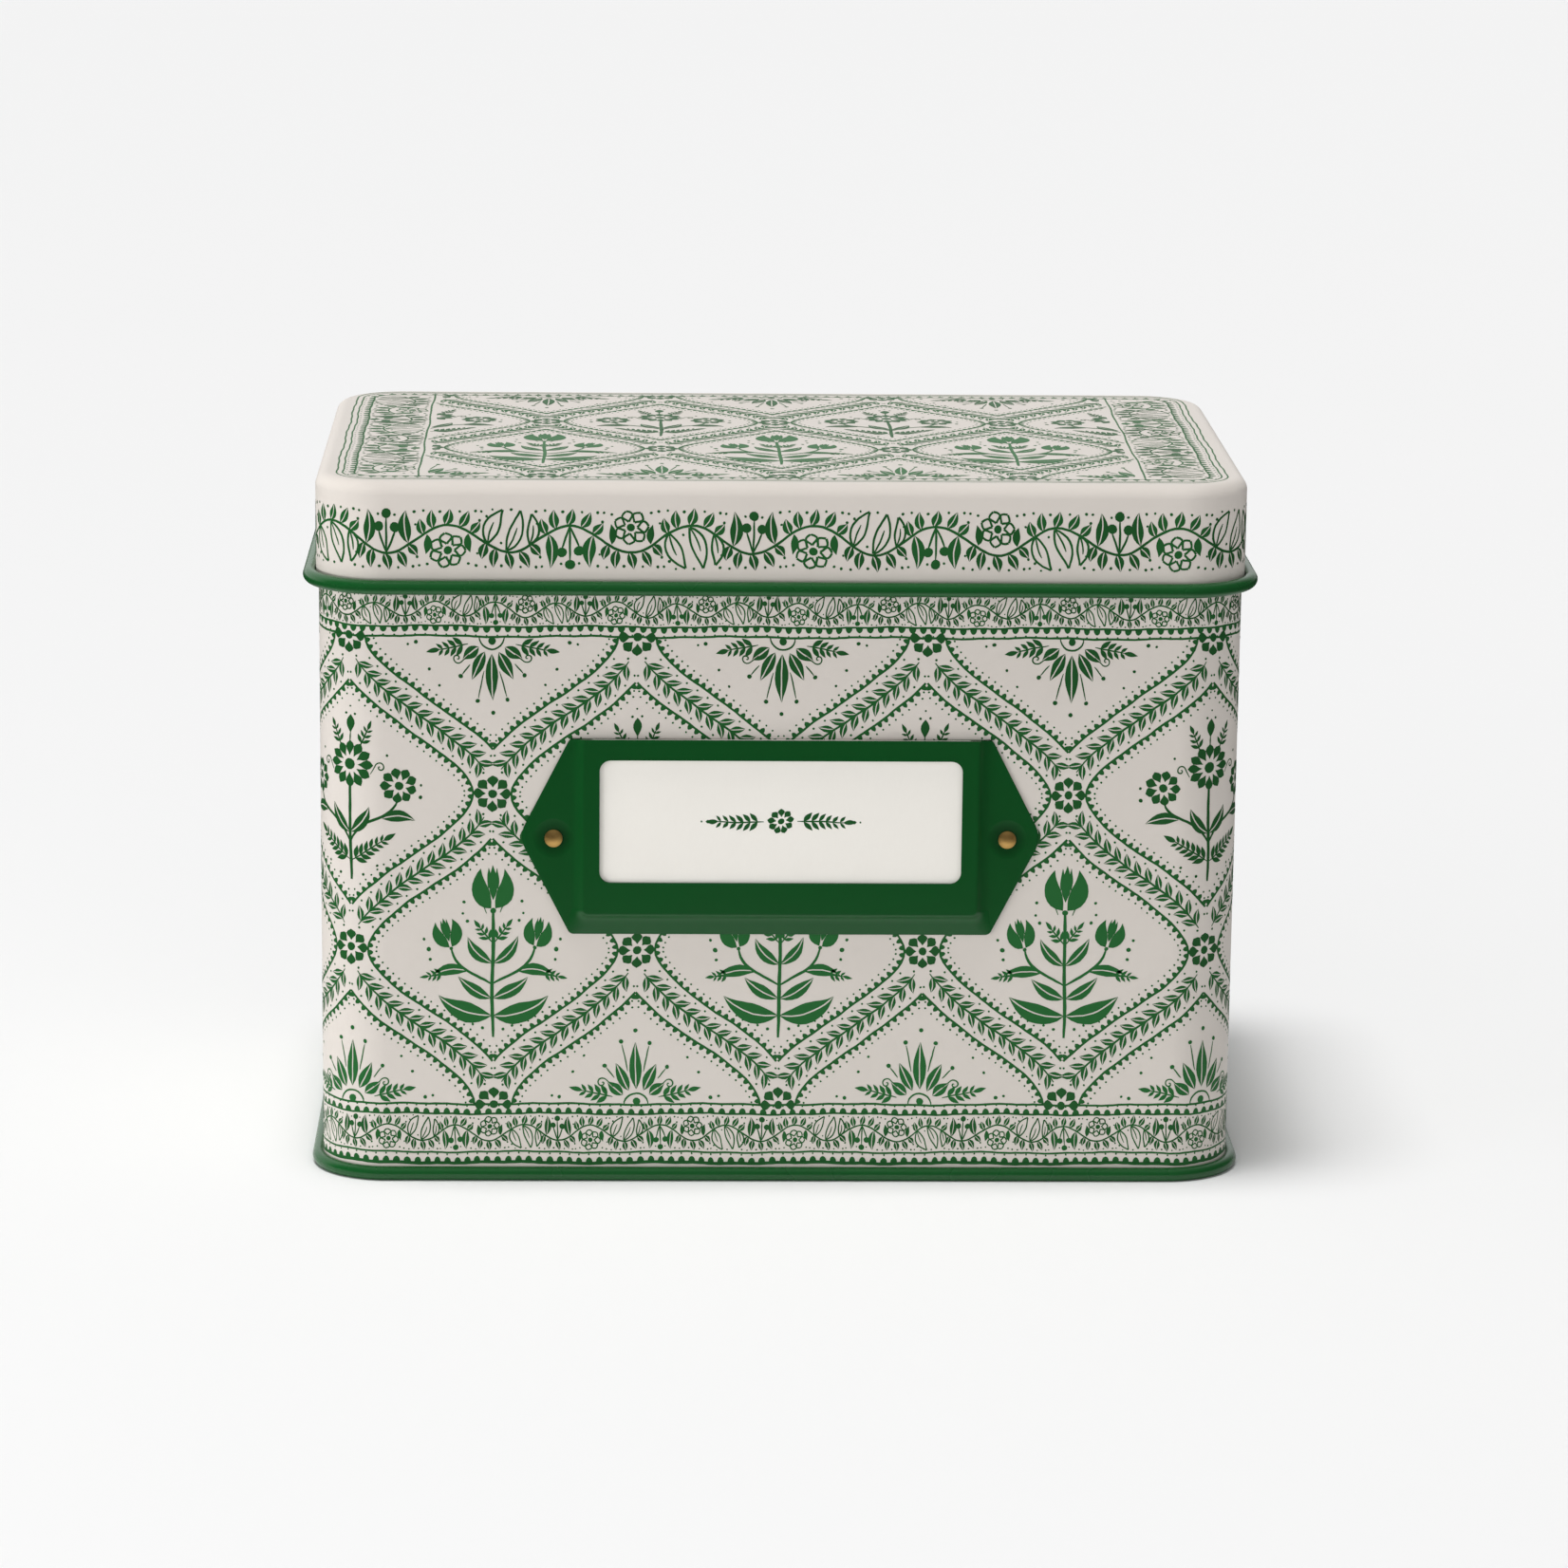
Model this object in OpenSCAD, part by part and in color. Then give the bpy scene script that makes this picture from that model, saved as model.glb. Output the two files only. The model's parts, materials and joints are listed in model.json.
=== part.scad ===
// Recipe card tin: a tinplate box with a hinged lid, a stamped label holder on the front,
// and a set of tabbed dividers and recipe cards standing inside.
// Millimetres. The origin is on the table under the middle of the tin, +Z is up,
// and the front, with the label holder, faces -Y.

/* [Tin] */
// Width of the body, side to side
body_w = 165; // [163:0.5:190]
// Depth of the body, front to back
body_d = 102; // [92:0.5:140]
// Height of the closed tin
tin_h = 127.6; // [125:0.1:150]
// Radius of the upright corners
corner_r = 12; // [9:0.5:16]
// Thickness of the tinplate
tin_t = 0.25; // [0.2:0.01:0.3]
// Running gap between the lid's skirt and the body
lid_gap = 0.25; // [0.22:0.01:0.5]
// Gap left between sheets that are pressed together
seat_gap = 0.02; // [0.01:0.01:0.04]
// Gap between loose pieces that rest on or near each other
rest_gap = 0.3; // [0.2:0.05:0.4]

/* [Body neck] */
// How far the neck under the lid steps in
neck_inset = 1.7; // [1.6:0.05:2.2]
// Height of the sloped step
neck_step_h = 2; // [1.5:0.1:3]
// How far above the hinge line the step begins
neck_step_z = 1.5; // [1:0.1:3]
// Outer radius of the inward hem round the mouth
hem_r = 0.9; // [0.7:0.05:1.1]
// Angle at which the hem's sheet ends, below level on the outward side
hem_end = -60; // [-75:1:-45]
// Width of the folded side seam inside the back wall
seam_w = 4; // [3:0.1:6]
// Thickness of the folded side seam
seam_t = 0.5; // [0.3:0.05:0.6]

/* [Lid] */
// Height of the lid, from the middle of its curl to its top
lid_h = 18.6; // [16:0.1:19]
// Radius of the lid's upper edge
lid_edge_r = 2.4; // [1.5:0.1:3]
// Outer radius of the curl round the lid's mouth
curl_r = 1.3; // [1.2:0.05:1.5]
// Angle at which the curled sheet ends, from the outward side
curl_end = 130; // [110:1:140]

/* [Base] */
// Outer radius of the seam bead round the base
bead_r = 1.25; // [1.2:0.05:1.5]
// Depth of the flat that the bead stands on
bead_flat = 0.1; // [0.05:0.01:0.2]
// Height of the base panel's upper face
panel_z = 2.5; // [2.4:0.1:3.5]
// Width of the level border round the stepped-down middle
panel_border = 9; // [7:0.5:14]
// How far the middle of the panel steps down
panel_step = 0.8; // [0.3:0.1:1]
// Corner radius of the stepped-down middle
panel_r = 6; // [3:0.5:10]

/* [Hinge] */
// Radial running gap between the hinge wire and what turns on it
pin_gap = 0.05; // [0.02:0.01:0.09]
// Distance of each strap's middle from the middle of the back
strap_x = 45; // [30:0.5:54]
// Width of a strap
strap_w = 14; // [8:0.5:20]
// Length of a strap's plate on the back wall
strap_len = 9; // [7:0.5:16]
// Angles between which a strap's knuckle is open, from the outward side
knuckle_open_from = 183; // [181:1:190]
knuckle_open_to = 235; // [225:1:245]
// Corner radius of a strap's plate
strap_corner_r = 2.5; // [1:0.1:3.5]
// Gap at each end of a strap's knuckle in its window
window_gap = 0.4; // [0.3:0.05:0.8]
// Height of a lid window above the hinge line
window_rise = 1.7; // [1.65:0.05:2.5]
// How far the hinge wire runs past each strap
wire_over = 6; // [3:0.5:9]
// Diameter of a spot weld's dimple
weld_d = 2; // [1:0.1:3]
// Depth of a spot weld's dimple
weld_depth = 0.1; // [0.05:0.01:0.15]
// Distance between the two spot welds of a strap
weld_pitch = 7; // [5:0.5:8]

/* [Label holder] */
// Width of the holder between its ears
holder_w = 73.7; // [60:0.1:90]
// Height of the holder
holder_h = 35.8; // [30:0.1:45]
// Height of the holder's lower edge above the table
holder_z = 45.8; // [20:0.1:55]
// Distance from the holder's middle to the tip of an ear
ear_reach = 46.1; // [44:0.1:60]
// Radius of an ear's tip
ear_tip_r = 4; // [2:0.1:4.5]
// Radius of the corners where the ears begin
ear_root_r = 1.2; // [0.5:0.1:2]
// Thickness of the holder's sheet
holder_t = 0.4; // [0.3:0.05:0.5]
// How far the raised frame stands out from the body
holder_rise = 1.6; // [1.5:0.05:2.5]
// Width of the frame's sloped sides
slope_w = 1.6; // [1:0.1:2.5]
// Height of the flat foot below the frame
foot_h = 2.1; // [1:0.1:3]
// Width of the window
window_w = 64.6; // [50:0.1:66]
// Height of the window
window_h = 22.4; // [15:0.1:23]
// Height of the window above the holder's lower edge
window_z = 9.7; // [7:0.1:12]
// Corner radius of the window
window_r = 2; // [1:0.1:4]
// Thickness of the label card
label_t = 0.4; // [0.2:0.05:0.5]
// Gap between the label card and the frame it lies behind
label_gap = 0.15; // [0.1:0.01:0.2]
// Gap at each side of the label card
label_side_gap = 0.5; // [0.3:0.05:1]

/* [Rivets] */
// Distance of each rivet from the middle of the holder
rivet_x = 40.5; // [40:0.1:42]
// Height of the rivets above the holder's lower edge
rivet_z = 17.6; // [15:0.1:20]
// Diameter of a rivet's head
rivet_head_d = 3.2; // [2.6:0.1:3.6]
// Height of a rivet's head
rivet_head_h = 0.9; // [0.5:0.05:1.3]
// Diameter of a rivet's shank
rivet_shank_d = 1.6; // [1.2:0.1:2]
// Radial gap round a rivet's shank
rivet_gap = 0.05; // [0.02:0.01:0.1]
// Diameter of a rivet's spread tail
rivet_tail_d = 2.6; // [2.3:0.1:3.4]
// Thickness of a rivet's spread tail
rivet_tail_t = 0.4; // [0.3:0.05:0.6]

/* [Cards] */
// Room at each side of the cards, measured to the body's outer face
card_side_room = 6.3; // [6:0.1:12]
// Height of a card, without a divider's tab
card_h = 101.6; // [95:0.1:102]
// Thickness of a recipe card
card_t = 0.4; // [0.25:0.05:0.45]
// Thickness of a divider
divider_t = 0.45; // [0.3:0.05:0.5]
// Corner radius of a card
card_r = 2.5; // [1:0.1:4]
// Height of a divider's tab
tab_h = 10; // [6:0.5:10]
// Width of a divider's tab at its foot
tab_w = 36; // [20:0.5:37]
// Corner radius of a divider's tab
tab_r = 3; // [1:0.1:4]
// Distance of the outermost tabs from the divider's side
tab_margin = 4; // [4:0.5:8]
// Number of tab places across a divider
tab_places = 4; // [3:1:4]
// Number of sections, each a divider with its recipe cards
sections = 12; // [4:1:12]
// Number of recipe cards in a section
cards_each = 2; // [1:1:2]
// Gap between neighbours in a section
leaf_gap = 0.15; // [0.1:0.01:0.2]
// Gap between one section and the next
section_gap = 0.35; // [0.3:0.01:0.4]
// Angle at which the cards lean back
lean = 10; // [6:0.5:12]

/* [Hidden] */
$fn = 96;
nothing = 0.01;
over = 1;

function two_digits(i) = i < 10 ? str("0", i) : str(i);
function divider_name(i) = str("divider_", two_digits(i));
function card_name(i) = str("recipe_card_", two_digits(i));

// Heights of the hinge line, which is also the middle of the lid's curl, and of the body's mouth
hinge_z = tin_h - lid_h;
mouth_z = tin_h - tin_t - rest_gap;
step_foot_z = hinge_z + neck_step_z;
step_top_z = step_foot_z + neck_step_h;
// The hinge line lies in the middle of the curl at the back
curl_out = lid_gap + curl_r;
hinge_y = body_d / 2 + curl_out;
wire_r = curl_r - tin_t - pin_gap;
knuckle_r = wire_r + pin_gap;
wire_len = 2 * (strap_x + strap_w / 2 + wire_over);
// Base seam: the pan's wall stands inside the body, and its bead goes round the body's flange
bead_z = bead_r - bead_flat;
pan_wall_out = -tin_t - seat_gap;
bead_out = pan_wall_out - tin_t + bead_r;
flange_z = bead_z - 0.6 * tin_t;
flange_out = bead_out + 0.5 * bead_r;
// Inner faces of the back wall and of the neck above it
wall_in_y = body_d / 2 - tin_t;
// Label holder: raised frame, and the sheet's thickness measured across its slopes
frame_w = holder_w - 2 * slope_w;
slope_shift = holder_t * sqrt(slope_w * slope_w + holder_rise * holder_rise) / holder_rise;
label_front = holder_rise - holder_t - label_gap;
label_w = frame_w - 2 * holder_t - 2 * label_side_gap;
label_z = foot_h + slope_w + rest_gap;
label_h = holder_h - label_z;
// Card pack: width of a card, thickness of a section, and the step from one to the next along the floor
card_w = body_w - 2 * card_side_room;
section_t = divider_t + cards_each * (card_t + leaf_gap);
section_pitch = (section_t + section_gap) / cos(lean);
pivot_z = panel_z + rest_gap + section_t / 2 * sin(lean);
// Inner face of the back at a height and a distance from the middle, round the upright corner too
function back_in_y(x, z) =
    let (inset = z < step_foot_z ? tin_t : tin_t + neck_inset, beyond = max(x - body_w / 2 + corner_r, 0))
    body_d / 2 - corner_r + sqrt(pow(corner_r - inset, 2) - pow(beyond, 2));
// The pack leans back until its cards or its outermost tab meet that face, less the rest gap
card_reach = card_h * sin(lean) + section_t / 2 * cos(lean);
card_top_z = pivot_z + card_h * cos(lean);
tab_reach = (card_h + tab_h) * sin(lean) + (divider_t - section_t / 2) * cos(lean);
tab_top_z = pivot_z + (card_h + tab_h) * cos(lean) + section_t / 2 * sin(lean);
last_pivot_y = min(back_in_y(card_w / 2, card_top_z) - card_reach - seam_t,
                   back_in_y(card_w / 2 - tab_margin, tab_top_z) - tab_reach) - rest_gap;
tab_pitch = (card_w - 2 * tab_margin - tab_w) / (tab_places - 1);

function pivot_y(section) = last_pivot_y - (sections - section) * section_pitch;

// A rounded rectangle with its middle at the origin
module rounded(w, h, r) {
    square([w - 2 * r, h], center = true);
    square([w, h - 2 * r], center = true);
    for (sx = [-1, 1], sy = [-1, 1])
        translate([sx * (w / 2 - r), sy * (h / 2 - r)]) circle(r);
}

// Carries a profile round a rounded rectangle: the profile's x is the distance outwards
// from the rectangle's edge and its y is the height
module around(w, d, r) {
    for (turn = [0 : 3]) {
        across = turn % 2 == 0 ? w : d;
        deep = turn % 2 == 0 ? d : w;
        rotate([0, 0, 90 * turn]) {
            translate([r - across / 2, deep / 2, 0])
                rotate([90, 0, 90]) linear_extrude(across - 2 * r) children();
            translate([across / 2 - r, deep / 2 - r, 0])
                rotate_extrude(angle = 90) translate([r, 0]) children();
        }
    }
}

// A flat ring, open from one angle to another
module open_ring(outer, inner, from, to) {
    far = 3 * outer;
    mid = (from + to) / 2;
    difference() {
        circle(outer);
        circle(inner);
        polygon([[0, 0], far * [cos(from), sin(from)], far * [cos(mid), sin(mid)], far * [cos(to), sin(to)]]);
    }
}

// A band of sheet between two profile points, with its thickness towards the inside
module sloped_band(x0, z0, x1, z1, t) {
    polygon([[x0, z0], [x1, z1], [x1 - t, z1], [x0 - t, z0]]);
}

// The body's wall: a flange in the base seam, an upright wall, a step to the neck, and a hem
module body_profile() {
    translate([-tin_t, flange_z]) square([tin_t, step_foot_z - flange_z]);
    translate([-tin_t, flange_z]) square([flange_out + tin_t, tin_t]);
    sloped_band(0, step_foot_z, -neck_inset, step_top_z, tin_t);
    translate([-neck_inset - tin_t, step_top_z]) square([tin_t, mouth_z - hem_r - step_top_z]);
    translate([-neck_inset - hem_r, mouth_z - hem_r]) open_ring(hem_r, hem_r - tin_t, hem_end, 0);
}

module body_shell() {
    color("antiquewhite")
    difference() {
        union() {
            around(body_w, body_d, corner_r) body_profile();
            side_seam();
        }
        for (side = [-1, 1]) rivet_hole(side);
    }
}

// The wrapped sheet's folded seam, up the inside of the back wall
module side_seam() {
    foot = panel_z + rest_gap;
    translate([-seam_w / 2, wall_in_y - seam_t, foot])
        cube([seam_w, seam_t + tin_t / 2, step_foot_z - rest_gap - foot]);
}

// The base panel's edge: a level border, an upright wall, and a bead round the body's flange
module base_profile() {
    translate([pan_wall_out - panel_border, panel_z - tin_t]) square([panel_border, tin_t]);
    translate([pan_wall_out - tin_t, bead_z]) square([tin_t, panel_z - bead_z]);
    difference() {
        translate([bead_out, bead_z]) circle(bead_r);
        translate([bead_out, bead_z]) circle(bead_r - tin_t);
        translate([pan_wall_out, flange_z - seat_gap]) square([tin_t + 2 * seat_gap, 2 * bead_r]);
        translate([pan_wall_out - bead_r, bead_z]) square([bead_r, 2 * bead_r]);
        translate([-bead_r, -over]) square([4 * bead_r, over]);
    }
}

module base_pan() {
    mid_w = body_w + 2 * (pan_wall_out - panel_border);
    mid_d = body_d + 2 * (pan_wall_out - panel_border);
    low_z = panel_z - panel_step;
    color("darkgreen") {
        around(body_w, body_d, corner_r) base_profile();
        difference() {
            panel_border_plate(mid_w, mid_d);
            translate([0, 0, panel_z - 2 * tin_t])
                linear_extrude(3 * tin_t) rounded(mid_w - 2 * panel_r, mid_d - 2 * panel_r, panel_r);
        }
        around(mid_w - 2 * panel_r, mid_d - 2 * panel_r, panel_r)
            polygon([[0, panel_z], [0, panel_z - tin_t], [-panel_step, low_z - tin_t],
                     [-panel_step, low_z]]);
        translate([0, 0, low_z - tin_t])
            linear_extrude(tin_t)
                rounded(mid_w - 2 * panel_r - 2 * panel_step, mid_d - 2 * panel_r - 2 * panel_step,
                        panel_r - panel_step);
    }
}

// The level part of the base panel inside the swept border
module panel_border_plate(w, d) {
    translate([0, 0, panel_z - tin_t])
        linear_extrude(tin_t) rounded(w, d, max(corner_r - panel_border + pan_wall_out, nothing));
}

// The lid's side: a curl at its mouth, an upright skirt, and a rounded upper edge
module lid_profile() {
    edge_x = lid_gap + tin_t - lid_edge_r;
    edge_z = tin_h - lid_edge_r;
    translate([lid_gap, hinge_z]) square([tin_t, edge_z - hinge_z]);
    translate([curl_out, hinge_z]) open_ring(curl_r, curl_r - tin_t, curl_end, 180);
    intersection() {
        translate([edge_x, edge_z]) difference() {
            circle(lid_edge_r);
            circle(lid_edge_r - tin_t);
        }
        translate([edge_x, edge_z]) square(lid_edge_r);
    }
}

module lid_shell() {
    top_in = lid_gap + tin_t - lid_edge_r;
    color("antiquewhite")
    difference() {
        union() {
            around(body_w, body_d, corner_r) lid_profile();
            translate([0, 0, tin_h - tin_t])
                linear_extrude(tin_t)
                    rounded(body_w + 2 * top_in, body_d + 2 * top_in, corner_r + top_in);
        }
        for (side = [-1, 1]) strap_window(side);
    }
}

// The window that a strap's knuckle turns in, cut through the curl and the foot of the skirt
module strap_window(side) {
    w = strap_w + 2 * window_gap;
    translate([side * strap_x - w / 2, body_d / 2 + lid_gap / 2, hinge_z - 2 * curl_r])
        cube([w, 4 * curl_r, 2 * curl_r + window_rise]);
}

module hinge_wire() {
    color("silver")
    translate([-wire_len / 2, hinge_y, hinge_z]) rotate([0, 90, 0]) cylinder(h = wire_len, r = wire_r);
}

// A strap: a plate welded to the back wall, and a knuckle rolled round the hinge wire
module hinge_strap(side) {
    plate_y = body_d / 2 + seat_gap;
    plate_out = plate_y - hinge_y;
    joggle = 1.3 * curl_r;
    translate([side * strap_x, 0, 0])
    difference() {
        union() {
            translate([-strap_w / 2, hinge_y, hinge_z])
                rotate([90, 0, 90]) linear_extrude(strap_w) {
                    open_ring(knuckle_r + tin_t, knuckle_r, knuckle_open_from, knuckle_open_to);
                    polygon([[plate_out, -joggle], [plate_out + tin_t, -joggle], [-knuckle_r, -0.1],
                             [-knuckle_r, 0], [-knuckle_r - tin_t, 0], [plate_out, -curl_r]]);
                }
            translate([0, plate_y, hinge_z - joggle - strap_len / 2])
                rotate([-90, 0, 0]) linear_extrude(tin_t) strap_outline();
        }
        for (weld = [-1, 1])
            translate([weld * weld_pitch / 2, plate_y + tin_t, hinge_z - joggle - strap_len / 2])
                rotate([-90, 0, 0]) translate([0, 0, -weld_depth]) cylinder(h = over, d = weld_d);
    }
}

// A strap's plate, square at its upper edge and rounded at its lower corners
module strap_outline() {
    rounded(strap_w, strap_len, strap_corner_r);
    translate([-strap_w / 2, -strap_len / 2]) square([strap_w, strap_len / 2]);
}

module hinge_strap_left() { color("silver") hinge_strap(-1); }
module hinge_strap_right() { color("silver") hinge_strap(1); }

// The direction from the middles of two circles, round p and round q, to a line that touches both on one side
function common_normal(p, rp, q, rq, side) =
    let (d = q - p, a = atan2(d[1], d[0]) + side * acos((rp - rq) / norm(d)))
    [cos(a), sin(a)];

// The holder's outline: a straight middle and an ear at each side that comes to a round tip
module holder_outline() {
    tip = [ear_reach - ear_tip_r, holder_h / 2];
    for (flip = [0, 1], side = [-1, 1]) mirror([flip, 0]) {
        root = [holder_w / 2, holder_h / 2 + side * (holder_h / 2 - ear_root_r)];
        touch = common_normal(root, ear_root_r, tip, ear_tip_r, side);
        polygon([[0, holder_h / 2], tip, tip + ear_tip_r * touch, root + ear_root_r * touch, root,
                 root + [0, side * ear_root_r], [0, holder_h / 2 + side * holder_h / 2]]);
        translate(root) circle(ear_root_r);
        translate(tip) circle(ear_tip_r);
    }
}

// A block with sloped sides and a sloped foot, open upwards: its slopes are measured from the wall
module raised_block(rise, shift, top) {
    half = holder_w / 2 - shift;
    run = slope_w * rise / holder_rise;
    intersection() {
        linear_extrude(top)
            polygon([[-half, 0], [half, 0], [half - run, -rise], [run - half, -rise]]);
        translate([-half, 0, 0]) rotate([90, 0, 90]) linear_extrude(2 * half)
            polygon([[0, foot_h + shift], [0, top], [-rise, top], [-rise, foot_h + shift + run]]);
    }
}

module label_holder() {
    face_y = -body_d / 2 - seat_gap;
    color("darkgreen")
    translate([0, face_y, holder_z])
    difference() {
        union() {
            rotate([90, 0, 0]) linear_extrude(holder_t) holder_outline();
            raised_block(holder_rise, 0, holder_h);
        }
        translate([0, nothing, 0])
            raised_block(holder_rise - holder_t + nothing, slope_shift, holder_h + over);
        translate([0, 0, window_z + window_h / 2]) rotate([90, 0, 0])
            linear_extrude(holder_rise + over) rounded(window_w, window_h, window_r);
        for (side = [-1, 1])
            translate([side * rivet_x, over, rivet_z]) rotate([90, 0, 0])
                cylinder(h = 2 * over + holder_t, r = rivet_shank_d / 2 + rivet_gap);
    }
}

// The card in the holder, which draws out upwards
module label_card() {
    color("ivory")
    translate([0, -body_d / 2 - label_front, holder_z + label_z + label_h / 2])
        rotate([-90, 0, 0]) linear_extrude(label_t) rounded(label_w, label_h, window_r / 2);
}

// The hole in the front wall for a rivet's shank
module rivet_hole(side) {
    translate([side * rivet_x, -body_d / 2 + over, holder_z + rivet_z]) rotate([90, 0, 0])
        cylinder(h = 2 * over, r = rivet_shank_d / 2 + rivet_gap);
}

// A rivet: a low domed head on the ear, a shank through both sheets, and a tail spread inside
module holder_rivet(side) {
    head_r = rivet_head_d / 2;
    dome_r = (head_r * head_r + rivet_head_h * rivet_head_h) / (2 * rivet_head_h);
    grip = tin_t + holder_t + 3 * seat_gap;
    translate([side * rivet_x, -body_d / 2 - holder_t - 2 * seat_gap, holder_z + rivet_z])
    rotate([90, 0, 0]) {
        intersection() {
            translate([0, 0, rivet_head_h - dome_r]) sphere(dome_r);
            cylinder(h = rivet_head_h, r = rivet_head_d);
        }
        translate([0, 0, -grip]) cylinder(h = grip + nothing, d = rivet_shank_d);
        translate([0, 0, -grip - rivet_tail_t]) cylinder(h = rivet_tail_t, d = rivet_tail_d);
    }
}

module holder_rivet_left() { color("goldenrod") holder_rivet(-1); }
module holder_rivet_right() { color("goldenrod") holder_rivet(1); }

// Places a leaf of a section: leaf 0 is the divider, and the cards stand behind it
module in_section(section, front) {
    translate([0, pivot_y(section), pivot_z]) rotate([-lean, 0, 0])
        translate([0, front - section_t / 2, 0]) children();
}

// An upright sheet with its lower edge on the floor and its front face at y = 0
module upright(t) {
    translate([0, t, 0]) rotate([90, 0, 0]) linear_extrude(t) children();
}

module divider(section) {
    place = (section - 1) % tab_places;
    tab_x = -card_w / 2 + tab_margin + tab_w / 2 + place * tab_pitch;
    color("seashell")
    in_section(section, 0) upright(divider_t) {
        translate([0, card_h / 2]) rounded(card_w, card_h, card_r);
        translate([tab_x, card_h]) rounded(tab_w, 2 * tab_h, tab_r);
    }
}

module recipe_card(index) {
    section = floor((index - 1) / cards_each) + 1;
    place = (index - 1) % cards_each;
    color("white")
    in_section(section, divider_t + leaf_gap + place * (card_t + leaf_gap))
        upright(card_t) translate([0, card_h / 2]) rounded(card_w, card_h, card_r);
}

body_shell();
base_pan();
lid_shell();
hinge_wire();
hinge_strap_left();
hinge_strap_right();
label_holder();
label_card();
holder_rivet_left();
holder_rivet_right();
for (i = [1 : sections]) divider(i);
for (i = [1 : sections * cards_each]) recipe_card(i);
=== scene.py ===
# %% [markdown]
# # A printed tin for recipe cards
#
# The tin is folded, rolled and riveted from thin sheet, and its sizes and joints come from a packed
# CAD model. This lesson gives it its looks: smooth sheet surfaces, varnish and enamel, brass,
# paper, and a pattern printed in green. Sizes are worked out in millimetres and become metres when
# a mesh is made. The frame is the CAD model's own: the origin is on the table under the middle of
# the tin, +Z is up, and the front faces -Y.

# %% Load the frame
import json
import math

import bmesh
import bpy
import numpy as np
from mathutils import Matrix, Vector

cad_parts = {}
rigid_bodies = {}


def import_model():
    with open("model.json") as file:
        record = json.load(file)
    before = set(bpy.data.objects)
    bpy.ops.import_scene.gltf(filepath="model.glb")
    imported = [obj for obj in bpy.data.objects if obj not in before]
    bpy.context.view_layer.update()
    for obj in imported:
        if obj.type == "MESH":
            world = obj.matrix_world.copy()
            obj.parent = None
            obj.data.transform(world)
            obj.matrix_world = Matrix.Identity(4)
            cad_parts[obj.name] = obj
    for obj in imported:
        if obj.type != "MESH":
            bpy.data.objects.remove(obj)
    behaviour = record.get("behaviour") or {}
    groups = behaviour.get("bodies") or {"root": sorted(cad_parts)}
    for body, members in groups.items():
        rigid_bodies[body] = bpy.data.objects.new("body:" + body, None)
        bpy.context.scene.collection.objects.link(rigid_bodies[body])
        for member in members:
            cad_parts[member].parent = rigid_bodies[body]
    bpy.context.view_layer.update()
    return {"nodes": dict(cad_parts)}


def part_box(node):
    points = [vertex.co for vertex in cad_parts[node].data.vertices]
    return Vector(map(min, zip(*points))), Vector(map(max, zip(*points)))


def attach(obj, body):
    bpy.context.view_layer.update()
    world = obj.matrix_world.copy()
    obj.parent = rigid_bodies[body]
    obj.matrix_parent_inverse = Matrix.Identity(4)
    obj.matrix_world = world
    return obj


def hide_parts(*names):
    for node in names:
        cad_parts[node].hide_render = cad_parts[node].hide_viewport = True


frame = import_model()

MM = 0.001

# %% [markdown]
# ## Sizes
#
# A few sizes are read from the CAD nodes' boxes, so that the surfaces made here stand exactly
# where the nodes stand. The rest are the sheet metal worker's own numbers, in millimetres: SHEET is
# the tinplate's thickness, CORNER the radius of the body's upright corners, LID_GAP the room between
# body and lid, and CURL and BEAD are the radii of the lid's curl and of the bead round the foot.

# %% Sizes of the tin
body_low, body_high = (np.array(corner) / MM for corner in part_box("body_shell"))
lid_low, lid_high = (np.array(corner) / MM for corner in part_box("lid_shell"))
wire_low, wire_high = (np.array(corner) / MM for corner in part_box("hinge_wire"))
_, base_high = (np.array(corner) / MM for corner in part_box("base_pan"))

SHEET = 0.25
CORNER = 12.0
LID_GAP = 0.25
CURL = 1.3
BEAD = 1.25
HINGE_Z = (wire_low[2] + wire_high[2]) / 2
HINGE_Y = (wire_low[1] + wire_high[1]) / 2
TIN_H = lid_high[2]
BODY_W = lid_high[0] - lid_low[0] - 2 * (LID_GAP + 2 * CURL)
BODY_D = lid_high[1] - lid_low[1] - 2 * (LID_GAP + 2 * CURL)
print(f"body {BODY_W:.2f} x {BODY_D:.2f} mm, lid top at {TIN_H:.2f}, hinge line at {HINGE_Z:.2f}")

# %% [markdown]
# ## The camera
#
# The camera stands a good metre away with a long lens and looks down a little, as in a shop's
# product picture. Its place and its three angles were found by matching the tin's outline. The
# view axes are built from the angles: first the direction it looks in, then right and up, then
# a slight roll.

# %% Camera
CAMERA_AT = Vector((-29.141, -1031.048, 300.608)) * MM
CAMERA_YAW, CAMERA_PITCH, CAMERA_ROLL = 0.03026, 0.22773, 0.01061
FOCAL_PX, PICTURE_PX, SENSOR_MM = 5951.9, 1652, 36.0


def camera_axes(yaw, pitch, roll):
    """Right, up and back as unit vectors. Looking is (sin yaw cos pitch, cos yaw cos pitch,
    -sin pitch); right is level; up is their cross product; roll turns right and up together."""
    look = Vector((math.sin(yaw) * math.cos(pitch), math.cos(yaw) * math.cos(pitch), -math.sin(pitch)))
    right = Vector((math.cos(yaw), -math.sin(yaw), 0))
    up = right.cross(look)
    rolled_right = right * math.cos(roll) + up * math.sin(roll)
    rolled_up = up * math.cos(roll) - right * math.sin(roll)
    return rolled_right, rolled_up, -look


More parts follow.
